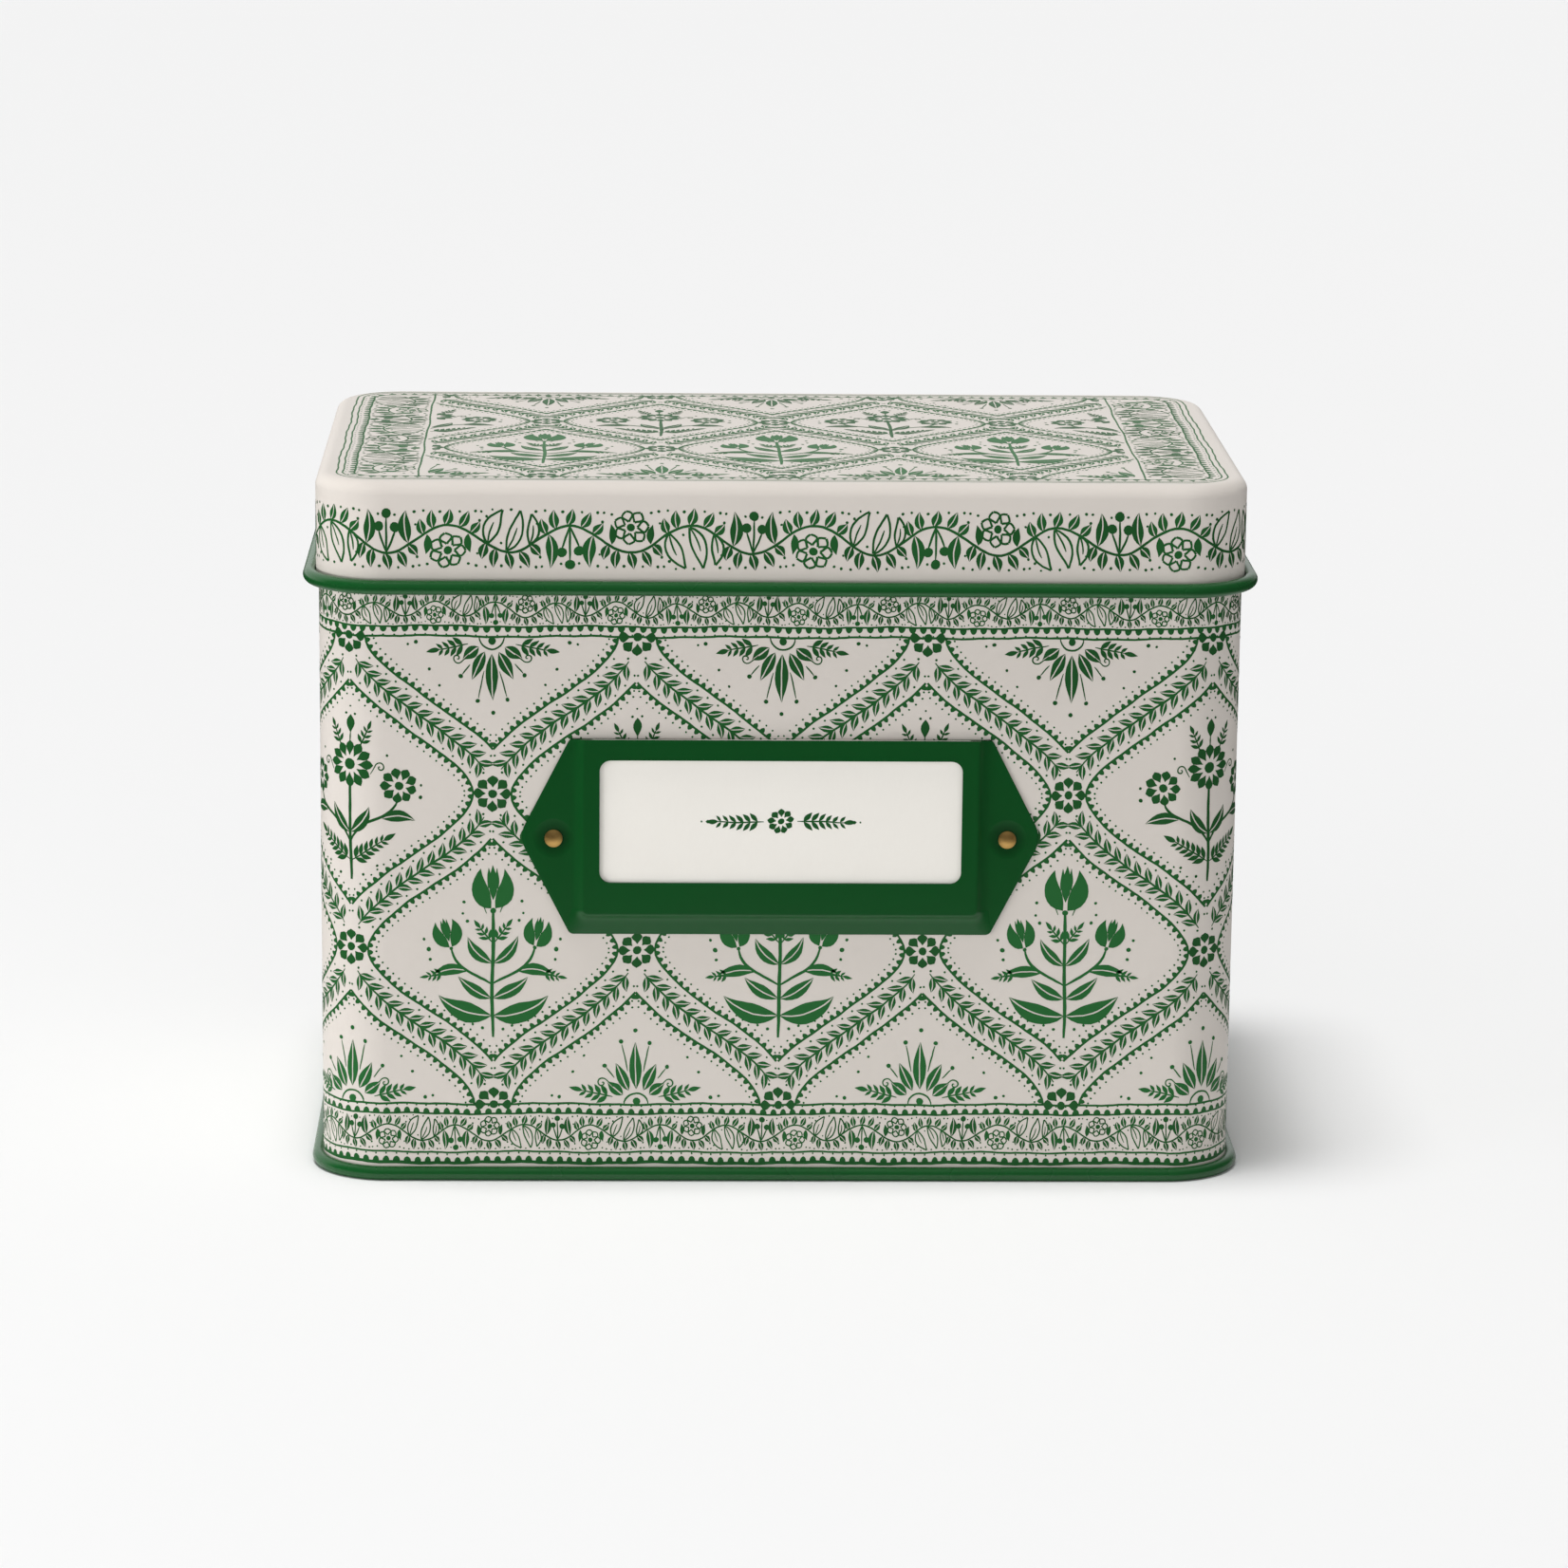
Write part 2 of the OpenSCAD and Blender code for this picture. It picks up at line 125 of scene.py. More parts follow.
camera = bpy.data.objects.new("camera", bpy.data.cameras.new("camera"))
camera.data.sensor_width = SENSOR_MM
camera.data.lens = FOCAL_PX / PICTURE_PX * SENSOR_MM
camera.data.clip_start, camera.data.clip_end = 0.01, 50
turn = Matrix(camera_axes(CAMERA_YAW, CAMERA_PITCH, CAMERA_ROLL)).transposed().to_4x4()
camera.matrix_world = Matrix.Translation(CAMERA_AT) @ turn
bpy.context.scene.collection.objects.link(camera)
bpy.context.scene.camera = camera
print(f"lens {camera.data.lens:.1f} mm")

# %% [markdown]
# ## Shader sums
#
# A material is worked out in Blender by nodes. To keep the sums readable, a small class wraps a
# node's socket: adding or multiplying wrapped sockets adds the Math nodes. Every other node comes
# from one method that takes its type, its settings and its inputs.


# %% Socket sums
class Wire:
    """A number that varies over a surface, as the output socket of a node."""

    def __init__(self, graph, socket):
        self.graph = graph
        self.socket = socket

    def _math(self, operation, first, second):
        """A Math node on two numbers or wires."""
        return self.graph.node("ShaderNodeMath", {"operation": operation}, {0: first, 1: second})

    def __add__(self, other):
        return self._math("ADD", self, other)

    def __radd__(self, other):
        return self._math("ADD", other, self)

    def __sub__(self, other):
        return self._math("SUBTRACT", self, other)

    def __rsub__(self, other):
        return self._math("SUBTRACT", other, self)

    def __mul__(self, other):
        return self._math("MULTIPLY", self, other)

    def __rmul__(self, other):
        return self._math("MULTIPLY", other, self)

    def clamped(self, low, high):
        """The number held between two limits."""
        return self._math("MINIMUM", self._math("MAXIMUM", self, low), high)


class Graph:
    """A node tree, of a material or of the world."""

    def __init__(self, tree):
        self.tree = tree

    def node(self, kind, settings, inputs, output=0):
        """Adds a node: its settings, then its inputs by name or number, as plain values or wires."""
        made = self.tree.nodes.new(kind)
        for key, value in settings.items():
            setattr(made, key, value)
        for key, value in inputs.items():
            self.feed(made.inputs[key], value)
        return Wire(self, made.outputs[output])

    def feed(self, socket, value):
        """Links a wire to a socket, or sets the socket to a plain value."""
        if isinstance(value, Wire):
            self.tree.links.new(value.socket, socket)
        else:
            socket.default_value = value


class Finish(Graph):
    """A material with one Principled shader, whose sockets are set to numbers or linked to wires."""

    def __init__(self, name):
        self.material = bpy.data.materials.new(name)
        self.material.use_nodes = True
        super().__init__(self.material.node_tree)
        self.shader = self.tree.nodes["Principled BSDF"]

    def set(self, **values):
        """Sets or links the shader's own sockets, named with underscores for spaces."""
        for key, value in values.items():
            self.feed(self.shader.inputs[key.replace("_", " ")], value)
        return self

    def place(self, scale=(1, 1, 1)):
        """The point on the piece in the object's own metres, stretched by scale."""
        point = self.node("ShaderNodeTexCoord", {}, {}, output="Object")
        return self.node("ShaderNodeMapping", {}, {"Vector": point, "Scale": scale})

    def noise(self, place, size, detail=2.0, roughness=0.5):
        """Smooth random values from 0 to 1, with features about size metres across."""
        inputs = {"Vector": place, "Scale": 1 / size, "Detail": detail, "Roughness": roughness}
        return self.node("ShaderNodeTexNoise", {}, inputs)

    def blend(self, share, first, second):
        """A colour that goes from first to second as share goes from 0 to 1."""
        inputs = {0: share, 6: first if isinstance(first, Wire) else (*first, 1), 7: (*second, 1)}
        return self.node("ShaderNodeMix", {"data_type": "RGBA"}, inputs, output=2)

    def bump(self, height, depth):
        """A normal that follows height, a wire from 0 to 1, as relief that is depth metres deep."""
        return self.node("ShaderNodeBump", {}, {"Strength": 1.0, "Distance": depth, "Height": height})


def linear(red, green, blue):
    """A colour given as screen values from 0 to 255, as the linear numbers that shaders use."""
    return tuple(((c / 255 + 0.055) / 1.055) ** 2.4 if c > 10 else c / 3294.6 for c in (red, green, blue))


print("shader helpers ready; mid grey is", round(linear(128, 128, 128)[0], 3))

# %% [markdown]
# ## Finishes of the metal
#
# The sheet is printed in a press before it is folded: a warm ivory ground, the green pattern, and
# a satin varnish over both. Varnish dries with a faint orange peel, so the ground gets a bump with
# features under a millimetre, and its roughness wanders a little. Folded rims are enamelled green.
# Inside, the tinplate is bare, with fine rolling lines.

# %% Ivory ground
IVORY_LIGHT = linear(216, 209, 202)
IVORY_DARK = linear(211, 204, 196)


def ivory_ground():
    """The warm ground: its tone and roughness wander in clouds 30 mm across, and the varnish has an
    orange peel with features of 0.7 mm, 0.003 mm deep."""
    f = Finish("ivory_ground")
    place = f.place()
    clouds = f.noise(place, 30 * MM, detail=3)
    peel = f.noise(place, 0.7 * MM)
    f.set(Base_Color=f.blend(clouds, IVORY_LIGHT, IVORY_DARK),
          Roughness=0.40 + 0.10 * clouds,
          Normal=f.bump(peel, 0.003 * MM),
          Specular_IOR_Level=0.35)
    return f.material


ivory = ivory_ground()
print("ivory ground", [round(c, 3) for c in IVORY_LIGHT])

# %% Green enamel
# The last two numbers give the painted shade round the rivets: how much of the colour turns at the middle, and
# how light the dark tone is made there.
DISH_R, DISH_DEPTH, PAINTED_SHADE_SHARE, PAINTED_SHADE_TONE = 3.6, 0.16, 0.8, 0.4


def green_enamel(name, light, dark, roughness, shine, peel_depth, dishes=()):
    """Enamel with an orange peel. The sheet is drawn in a little round each rivet, 1 - (r / R)^2
    deep at distance r from the rivet's axis, which lies along Y. Over the same area the colour is
    darkened towards the rivet, as painted shade round its head."""
    f = Finish(name)
    place = f.place()
    clouds = f.noise(place, 14 * MM, detail=3)
    relief = (peel_depth / (DISH_DEPTH * MM)) * f.noise(place, 0.9 * MM)
    colour = f.blend(clouds, light, dark)
    for x, z in dishes:
        from_axis = f.node("ShaderNodeVectorMath", {"operation": "SUBTRACT"},
                           {0: f.place((1, 0, 1)), 1: (x * MM, 0, z * MM)})
        square = f.node("ShaderNodeVectorMath", {"operation": "DOT_PRODUCT"},
                        {0: from_axis, 1: from_axis}, output="Value")
        dish_and_shade = (1.0 - square * (1 / (DISH_R * MM) ** 2)).clamped(0, 1)
        relief = relief - dish_and_shade
        # Painted shade: towards each rivet the colour turns to a darker copy of the dark tone.
        colour = f.blend(PAINTED_SHADE_SHARE * dish_and_shade, colour, [PAINTED_SHADE_TONE * c for c in dark])
    f.set(Base_Color=colour,
          Roughness=roughness + 0.06 * clouds,
          Normal=f.bump(relief, DISH_DEPTH * MM),
          Specular_IOR_Level=shine)
    return f.material


rim_green = green_enamel("rim_enamel", linear(11, 81, 31), linear(8, 74, 27), 0.24, 0.50, 0.004 * MM)
RIVET_X, RIVET_Z = 40.5, 63.4
# The holder's rivet places give it a dish in the sheet and painted shade round each.
holder_green = green_enamel("holder_enamel", linear(6, 75, 28), linear(5, 71, 25), 0.20, 0.40, 0.004 * MM,
                            [(-RIVET_X, RIVET_Z), (RIVET_X, RIVET_Z)])
print("two green enamels")

# %% Bare tinplate, steel and brass
def bare_metal(name, light, dark, roughness, grain, grain_depth):
    """A rolled or drawn metal: long fine lines along X in its colour, roughness and relief."""
    f = Finish(name)
    lines = f.noise(f.place((0.04, 1, 1)), grain, detail=4, roughness=0.7)
    clouds = f.noise(f.place(), 12 * MM, detail=2)
    f.set(Base_Color=f.blend(clouds, light, dark),
          Metallic=1.0,
          Roughness=roughness + 0.16 * lines,
          Normal=f.bump(lines, grain_depth))
    return f.material


tinplate = bare_metal("bare_tinplate", linear(198, 197, 193), linear(184, 184, 181), 0.28, 0.3 * MM, 0.002 * MM)
steel = bare_metal("hinge_steel", linear(190, 190, 188), linear(172, 172, 172), 0.24, 0.2 * MM, 0.002 * MM)
brass = bare_metal("rivet_brass", linear(234, 194, 122), linear(214, 170, 98), 0.48, 0.25 * MM, 0.006 * MM)
print("tinplate, steel and brass")

# %% [markdown]
# ## Finishes of the paper
#
# Card is a felt of fibres. Two layers of noise, one stretched along the sheet's grain, give its
# tooth, and the colour varies by a hair. The label is a smoother, whiter card than the dividers.


# %% Paper and board
def paper(name, light, dark, fibre, tooth):
    """Uncoated card: fibres of that width, four times as long up the sheet, and faint clouds."""
    f = Finish(name)
    fibres = f.noise(f.place((1, 1, 0.25)), fibre, detail=5, roughness=0.65)
    clouds = f.noise(f.place(), 9 * MM, detail=3)
    f.set(Base_Color=f.blend((0.5 * fibres + 0.5 * clouds).clamped(0, 1), light, dark),
          Roughness=0.82 + 0.12 * fibres,
          Normal=f.bump(fibres, tooth),
          Specular_IOR_Level=0.25)
    return f.material


label_paper = paper("label_paper", linear(242, 239, 232), linear(237, 233, 226), 0.5 * MM, 0.006 * MM)
card_paper = paper("card_paper", linear(238, 234, 224), linear(230, 226, 215), 0.6 * MM, 0.010 * MM)
board = paper("divider_board", linear(222, 208, 180), linear(212, 196, 166), 0.8 * MM, 0.018 * MM)
print("label, card and board")

# %% [markdown]
# ## Sheets
#
# Every piece of the tin is one thin sheet, bent along a line in its cross-section. `sheet_outline`
# gives the line its thickness, and `carried` takes the outline round a rounded rectangle, which
# is how a rolling machine works the rim of a tin.


# %% Lines of a cross-section
def arc(centre, radius, start, end, steps):
    """Points on a circle: centre + radius (cos a, sin a), with a from start to end in degrees."""
    a = np.radians(np.linspace(start, end, steps))
    return np.stack([centre[0] + radius * np.cos(a), centre[1] + radius * np.sin(a)], -1)


def line(start, end, steps=2):
    """Evenly spaced points from start to end."""
    return np.linspace(np.array(start, float), np.array(end, float), steps)


def side_of(points):
    """Unit normals on the left of an open line: the direction of travel turned by 90 degrees."""
    along = np.gradient(points, axis=0)
    normal = np.stack([-along[:, 1], along[:, 0]], -1)
    return normal / np.linalg.norm(normal, axis=1, keepdims=True)


def joined(*parts):
    """One line from several, with points that repeat left out."""
    points = np.concatenate(parts)
    gap = np.linalg.norm(np.diff(points, axis=0), axis=1)
    return points[np.concatenate([[True], gap > 1e-6])]


print("quarter circle:", arc((0, 0), 1, 0, 90, 3).round(2).tolist())


# %% Rounded rectangles
def track(width, depth, corner, corner_steps=24, side_steps=16):
    """Points and outward normals round a rounded rectangle, anticlockwise from the right end of
    the front. A corner's points are its centre + corner x normal; a side's lie on a line."""
    half_w, half_d = width / 2 - corner, depth / 2 - corner
    corners = [(half_w, -half_d, -90), (half_w, half_d, 0), (-half_w, half_d, 90), (-half_w, -half_d, 180)]
    points, normals = [], []
    for x, y, start in corners:
        a = np.radians(np.linspace(start, start + 90, corner_steps + 1))
        normal = np.stack([np.cos(a), np.sin(a)], -1)
        points.append(np.array([x, y]) + corner * normal)
        normals.append(normal)
    spans = []
    for k in range(4):
        after = (k + 1) % 4
        share = np.linspace(0, 1, side_steps + 2)[1:-1, None]
        spans.append(points[k])
        spans.append(points[k][-1] + share * (points[after][0] - points[k][-1]))
    turned = []
    for k in range(4):
        turned.append(normals[k])
        turned.append(np.repeat(normals[k][-1:], side_steps, axis=0))
    return np.concatenate(spans), np.concatenate(turned)


def carried(profile, points, normals):
    """A grid of points: the profile's x is carried outwards along each normal of the track and its
    y is the height, so the surface is track(u) + x(v) normal(u), z(v)."""
    flat = points[:, None, :] + profile[None, :, :1] * normals[:, None, :]
    height = np.broadcast_to(profile[None, :, 1:], (len(points), len(profile), 1))
    return np.concatenate([flat, height], -1)


round_points, round_normals = track(BODY_W, BODY_D, CORNER)
print("track round the body:", len(round_points), "points")


# %% Meshes from grids
def grid_faces(rows, columns, wrap_rows=False, wrap_columns=False):
    """Quads of a grid of points, as indices; a wrapped direction closes on itself."""
    i = np.arange(rows if wrap_rows else rows - 1)[:, None]
    j = np.arange(columns if wrap_columns else columns - 1)[None, :]
    i2, j2 = (i + 1) % rows, (j + 1) % columns
    return np.stack([i * columns + j, i2 * columns + j, i2 * columns + j2, i * columns + j2], -1).reshape(-1, 4)


def mesh_object(name, points, faces, materials, face_materials=None, smooth=True):
    """A Blender object from points in millimetres, with one or more materials given by face."""
    mesh = bpy.data.meshes.new(name)
    flat = [f.tolist() for f in faces] if isinstance(faces, np.ndarray) else faces
    mesh.from_pydata((points.reshape(-1, 3) * MM).tolist(), [], flat)
    for material in materials:
        mesh.materials.append(material)
    if face_materials is not None:
        mesh.polygons.foreach_set("material_index", np.asarray(face_materials, np.int32))
    mesh.polygons.foreach_set("use_smooth", np.full(len(mesh.polygons), smooth))
    mesh.update()
    made = bpy.data.objects.new(name, mesh)
    bpy.context.scene.collection.objects.link(made)
    return made


def sharpened(piece, degrees=35):
    """Keeps creases over this angle sharp in the shading of a smooth piece."""
    mesh = piece.data
    mesh.set_sharp_from_angle(angle=math.radians(degrees))
    return piece


print("a 3 by 4 grid has", len(grid_faces(3, 4)), "quads")

# %% [markdown]
# ## The body
#
# The body is one strip of tinplate, wrapped into a rounded box and locked with a folded seam inside
# the back. Its foot is flanged outwards for the base seam. Near its top it steps in to a neck that
# the lid slides over, and its mouth is rolled inwards, so that no raw edge can cut a hand. A closed
# outline carried round the body gives all of this in one surface.


# %% Sheet outline
def faces_of_sheet(middle):
    """The two sides of a sheet whose middle line is given: middle -/+ half the thickness along
    the line's left normal. Returns the right side, and the left side in reverse."""
    normal = side_of(middle)
    return middle - normal * SHEET / 2, (middle + normal * SHEET / 2)[::-1]


def outward(points, faces):
    """Turns all faces over if the closed surface's signed volume, the sum of a . (b x c) / 6 over
    its triangles, is negative."""
    corners = points.reshape(-1, 3)[faces]
    volume = 0.0
    for k in (1, 2):
        a, b, c = corners[:, 0], corners[:, k], corners[:, k + 1]
        volume += np.einsum("ij,ij->", a, np.cross(b, c)) / 6
    return faces[:, ::-1] if volume < 0 else faces


FLANGE_BEND = 0.3
NECK_IN = 1.7
NECK_FOOT_Z = HINGE_Z + 1.5
NECK_STEP = 2.0
HEM = 0.9
HEM_TURN = 300
half_sheet = SHEET / 2
mouth_z = body_high[2]
flange_z = body_low[2] + half_sheet
flange_x = body_high[0] - BODY_W / 2


# %% The body's shell
def neck_step(steps=12):
    """The step to the neck: x falls by the inset along smoothstep(t) = t t (3 - 2 t) as z rises."""
    t = np.linspace(0, 1, steps)
    return np.stack([-half_sheet - NECK_IN * t * t * (3 - 2 * t), NECK_FOOT_Z + NECK_STEP * t], -1)


body_line = joined(
    line((flange_x, flange_z), (FLANGE_BEND - half_sheet, flange_z), 3),
    arc((FLANGE_BEND - half_sheet, flange_z + FLANGE_BEND), FLANGE_BEND, 270, 180, 6),
    line((-half_sheet, flange_z + FLANGE_BEND), (-half_sheet, NECK_FOOT_Z), 12),
    neck_step(),
    line((-half_sheet - NECK_IN, NECK_FOOT_Z + NECK_STEP), (-half_sheet - NECK_IN, mouth_z - HEM), 5),
    arc((-NECK_IN - HEM, mouth_z - HEM), HEM - half_sheet, 0, HEM_TURN, 24),
)
outer_side, inner_side = faces_of_sheet(body_line)
body_grid = carried(np.concatenate([outer_side, inner_side]), round_points, round_normals)
body_faces = outward(body_grid, grid_faces(*body_grid.shape[:2], wrap_rows=True, wrap_columns=True))
inside = (np.arange(body_grid.shape[1]) >= len(outer_side)).astype(int)
tin_body = mesh_object("tin_body", body_grid, body_faces, [ivory, tinplate],
                       np.tile(inside, body_grid.shape[0]))
sharpened(tin_body)
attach(tin_body, "tin")
print("body shell:", len(body_faces), "faces, mouth at", mouth_z)

# %% [markdown]
# The side seam is the strip's two hooked edges pressed flat. It shows only inside, as a low rib up
# the middle of the back wall. A rib is a flat bar whose long edges are rounded, so its outline is
# a rounded rectangle carried up the wall.

# %% Side seam
SEAM_W, SEAM_T, SEAM_CORNER, SEAM_TAPER = 4.0, 0.5, 0.2, 0.15
seam_back = BODY_D / 2 - half_sheet
seam_points, seam_normals = track(SEAM_W, 2 * SEAM_T, SEAM_CORNER, 4, 1)
seam_heights = np.array([base_high[2] + 0.4, base_high[2] + 0.6, NECK_FOOT_Z - 0.6, NECK_FOOT_Z - 0.4])
seam_shrink = np.array([-SEAM_TAPER, 0, 0, -SEAM_TAPER])
seam_grid = np.stack([np.concatenate([seam_points + shrink * seam_normals,
                                      np.full((len(seam_points), 1), z)], 1)
                      for z, shrink in zip(seam_heights, seam_shrink)], 1)
seam_grid[..., 1] = seam_back - np.clip(seam_grid[..., 1], 0, None)
seam_faces = grid_faces(*seam_grid.shape[:2], wrap_rows=True)
seam_count = len(seam_points)
seam_caps = [list(range(0, seam_count * 4, 4)), list(range(3, seam_count * 4, 4))[::-1]]
side_seam = mesh_object("side_seam", seam_grid, seam_faces.tolist() + seam_caps, [tinplate])


def recalculated(piece):
    """Merges points that lie together and turns all faces outwards."""
    work = bmesh.new()
    work.from_mesh(piece.data)
    bmesh.ops.remove_doubles(work, verts=work.verts, dist=1e-7)
    bmesh.ops.dissolve_degenerate(work, edges=work.edges, dist=1e-8)
    bmesh.ops.recalc_face_normals(work, faces=work.faces)
    work.to_mesh(piece.data)
    work.free()
    piece.data.update()
    return piece


sharpened(recalculated(side_seam), 60)
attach(side_seam, "tin")
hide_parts("body_shell")
print("side seam", SEAM_W, "mm wide")

# %% [markdown]
# ## The base
#
# The base is a shallow green pan. Its rim is rolled tightly round the body's flange, which makes
# the bead that the tin stands on, and its floor is stepped down a little, so that the thin sheet
# doesn't drum. The rolled rim follows the body's corners, but the step has corners of its own:
# each ring of points has as many points as the others, so rings of two kinds join into one grid.

# %% The base pan
SEAT_GAP = 0.02
PAN_WALL = -SHEET - SEAT_GAP
BORDER = 9.0
STEP_DOWN = 0.8
FLOOR_CORNER = 6.0
PAN_BEND = 0.4
BEAD_END = 484
BEAD_FLAT = 0.1
STEP_RUN, STEP_OUT = 1.6, 0.4
bead_x = base_high[0] - BODY_W / 2 - BEAD
bead_z = BEAD - BEAD_FLAT
floor_z = base_high[2]
wall_x = PAN_WALL - half_sheet
pan_line = joined(
    line((PAN_WALL - BORDER, floor_z - half_sheet), (wall_x - PAN_BEND, floor_z - half_sheet), 6),
    arc((wall_x - PAN_BEND, floor_z - half_sheet - PAN_BEND), PAN_BEND, 90, 0, 6),
    line((wall_x, floor_z - half_sheet - PAN_BEND), (wall_x, bead_z), 3),
    arc((bead_x, bead_z), BEAD - half_sheet, 180, BEAD_END, 44),
)
under_side, upper_side = faces_of_sheet(pan_line)
upper_side = upper_side[::-1]
pan_profile = np.concatenate([upper_side, under_side[::-1]])
pan_profile[:, 1] = np.maximum(pan_profile[:, 1], 0)
pan_rim = carried(pan_profile, round_points, round_normals)


def floor_ring(inset, height):
    """A ring of the stepped floor: the floor's own rounded rectangle, drawn in by inset."""
    side_w = BODY_W + 2 * (PAN_WALL - BORDER - FLOOR_CORNER)
    side_d = BODY_D + 2 * (PAN_WALL - BORDER - FLOOR_CORNER)
    points, normals = track(side_w, side_d, FLOOR_CORNER)
    flat = points - inset * normals
    return np.concatenate([flat, np.full((len(flat), 1), height)], 1)[:, None, :]


def floor_rings(drop):
    """The step from the level border to the sunk middle: height falls by smoothstep(t)."""
    t = np.linspace(0, 1, 7)
    return [floor_ring(STEP_RUN * s - STEP_OUT, floor_z - drop - STEP_DOWN * s * s * (3 - 2 * s)) for s in t]


pan_grid = np.concatenate([*floor_rings(0)[::-1], pan_rim, *floor_rings(SHEET)], 1)
rings, around_pan = pan_grid.shape[1], pan_grid.shape[0]
pan_faces = grid_faces(around_pan, rings, wrap_rows=True).tolist()
pan_faces.append([k * rings for k in range(around_pan)])
pan_faces.append([k * rings + rings - 1 for k in range(around_pan)][::-1])
tin_base = mesh_object("tin_base", pan_grid, pan_faces, [rim_green])
sharpened(recalculated(tin_base), 40)
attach(tin_base, "tin")
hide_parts("base_pan")
print("base pan:", len(pan_faces), "faces, bead", 2 * BEAD, "mm")

# %% [markdown]
# ## The lid
#
# The lid is drawn from one sheet: a flat top, a rounded edge, a skirt, and a curl round its mouth
# that is rolled outwards over a full circle. At the back the curl holds the hinge wire. Two windows
# are cut through it there, for the knuckles that are fixed to the body.

# %% The lid's shell
LID_EDGE = 2.4
CURL_END = 490
skirt_x = LID_GAP + half_sheet
edge_x = LID_GAP + SHEET - LID_EDGE
curl_x = LID_GAP + CURL
lid_line = joined(
    arc((edge_x, TIN_H - LID_EDGE), LID_EDGE - half_sheet, 90, 0, 14),
    line((skirt_x, TIN_H - LID_EDGE), (skirt_x, HINGE_Z), 5),
    arc((curl_x, HINGE_Z), CURL - half_sheet, 180, CURL_END, 46),
)
lid_inner, lid_outer = faces_of_sheet(lid_line)
lid_outer = lid_outer[::-1]
lid_profile = np.concatenate([lid_outer, lid_inner[::-1]])
lid_grid = carried(lid_profile, round_points, round_normals)
around_lid, columns = lid_grid.shape[:2]
lid_faces = grid_faces(around_lid, columns, wrap_rows=True).tolist()
lid_faces.append([k * columns for k in range(around_lid)])
lid_faces.append([k * columns + columns - 1 for k in range(around_lid)][::-1])
# The material of each column of faces: 0 is ivory outside, 1 tinplate inside, 2 green on the curl.
column = np.arange(columns - 1)
on_curl = lid_line[:-1, 1] < HINGE_Z + 1e-6
curl_start = int(np.argmax(on_curl))
kind = np.where(column >= len(lid_line), 1, np.where(column >= curl_start, 2, 0))
kind = np.where(column == len(lid_line) - 1, 2, kind)
kind = np.where((column >= len(lid_line)) & (column < 2 * len(lid_line) - 1 - curl_start), 2, kind)
tin_lid = mesh_object("tin_lid", lid_grid, lid_faces, [ivory, tinplate, rim_green],
                      np.concatenate([np.tile(kind, around_lid), [0, 1]]))
recalculated(tin_lid)
print("lid:", len(lid_faces), "faces; curl starts at profile point", curl_start)

# %% The lid's windows
STRAP_X, STRAP_W, WINDOW_GAP, WINDOW_RISE = 45.0, 14.0, 0.4, 1.7


def finished(piece):
    """Replaces a piece's mesh by what its modifiers make of it, and removes them."""
    graph = bpy.context.evaluated_depsgraph_get()
    done = bpy.data.meshes.new_from_object(piece.evaluated_get(graph))
    piece.modifiers.clear()
    piece.data = done
    return piece


def block(name, low, high):
    """A box between two corners, in millimetres, as a cutting tool."""
    x, y, z = (np.array([low[k], high[k]]) for k in range(3))
    points = np.stack(np.meshgrid(x, y, z, indexing="ij"), -1).reshape(-1, 3)
    faces = [[0, 1, 3, 2], [4, 6, 7, 5], [0, 4, 5, 1], [2, 3, 7, 6], [0, 2, 6, 4], [1, 5, 7, 3]]
    return mesh_object(name, points, faces, [tinplate], smooth=False)


for side in (-1, 1):
    middle = side * STRAP_X
    half = STRAP_W / 2 + WINDOW_GAP
    cutter = block("window_cutter", (middle - half, BODY_D / 2 + LID_GAP / 2, HINGE_Z - 2 * CURL),
                   (middle + half, BODY_D / 2 + 4 * CURL, HINGE_Z + WINDOW_RISE))
    cut = tin_lid.modifiers.new("window", "BOOLEAN")
    cut.operation = "DIFFERENCE"
    cut.solver = "EXACT"
    cut.object = cutter
    finished(tin_lid)
    bpy.data.objects.remove(cutter)
sharpened(tin_lid, 40)
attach(tin_lid, "lid")
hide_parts("lid_shell")
print("lid with windows:", len(tin_lid.data.polygons), "faces")

# %% [markdown]
# ## The label holder
#
# The holder is stamped from thicker sheet: a raised frame with a window, sloped sides that come
# down to the wall, a foot, and a pointed ear at each side for a rivet. It is open at the top, so
# the label can be drawn out. Its surface is made of two grids: a ring from the window to the
# frame's edge, and a U-shaped strip from there over the slopes to the outline.

# %% The holder's lines
HOLDER_Z = 45.8
HOLDER_W = 73.7
HOLDER_H = 35.8
HOLDER_T = 0.4
RISE = 1.6
SLOPE = 1.6
FOOT = 2.1
FRAME_HALF = HOLDER_W / 2 - SLOPE
WINDOW_HALF, WINDOW_FOOT, WINDOW_TOP, WINDOW_R = 32.3, 9.7, 32.1, 2.0
EAR_TIP, EAR_TIP_R, EAR_ROOT_R = 46.1, 5.0, 1.2
SIDE_STEPS, CORNER_STEPS, FOOT_STEPS = 96, 10, 40
eased = (1 - np.cos(np.pi * np.linspace(0, 1, SIDE_STEPS))) / 2


def u_line(half, foot, top, corner):
    """An open line in the shape of a U: down the right side, round a corner, along the foot and up
    the left side. The side's points are spaced by (1 - cos) / 2, closer near its ends."""
    z = top + (foot + corner - top) * eased
    right = np.stack([np.full(SIDE_STEPS, half), z], -1)
    bend = arc((half - corner, foot + corner), corner, 0, -90, CORNER_STEPS + 2)[1:-1]
    low = line((half - corner, foot), (0, foot), FOOT_STEPS // 2 + 1)
    half_u = np.concatenate([right, bend, low])
    return np.concatenate([half_u, (half_u[:-1] * [-1, 1])[::-1]])


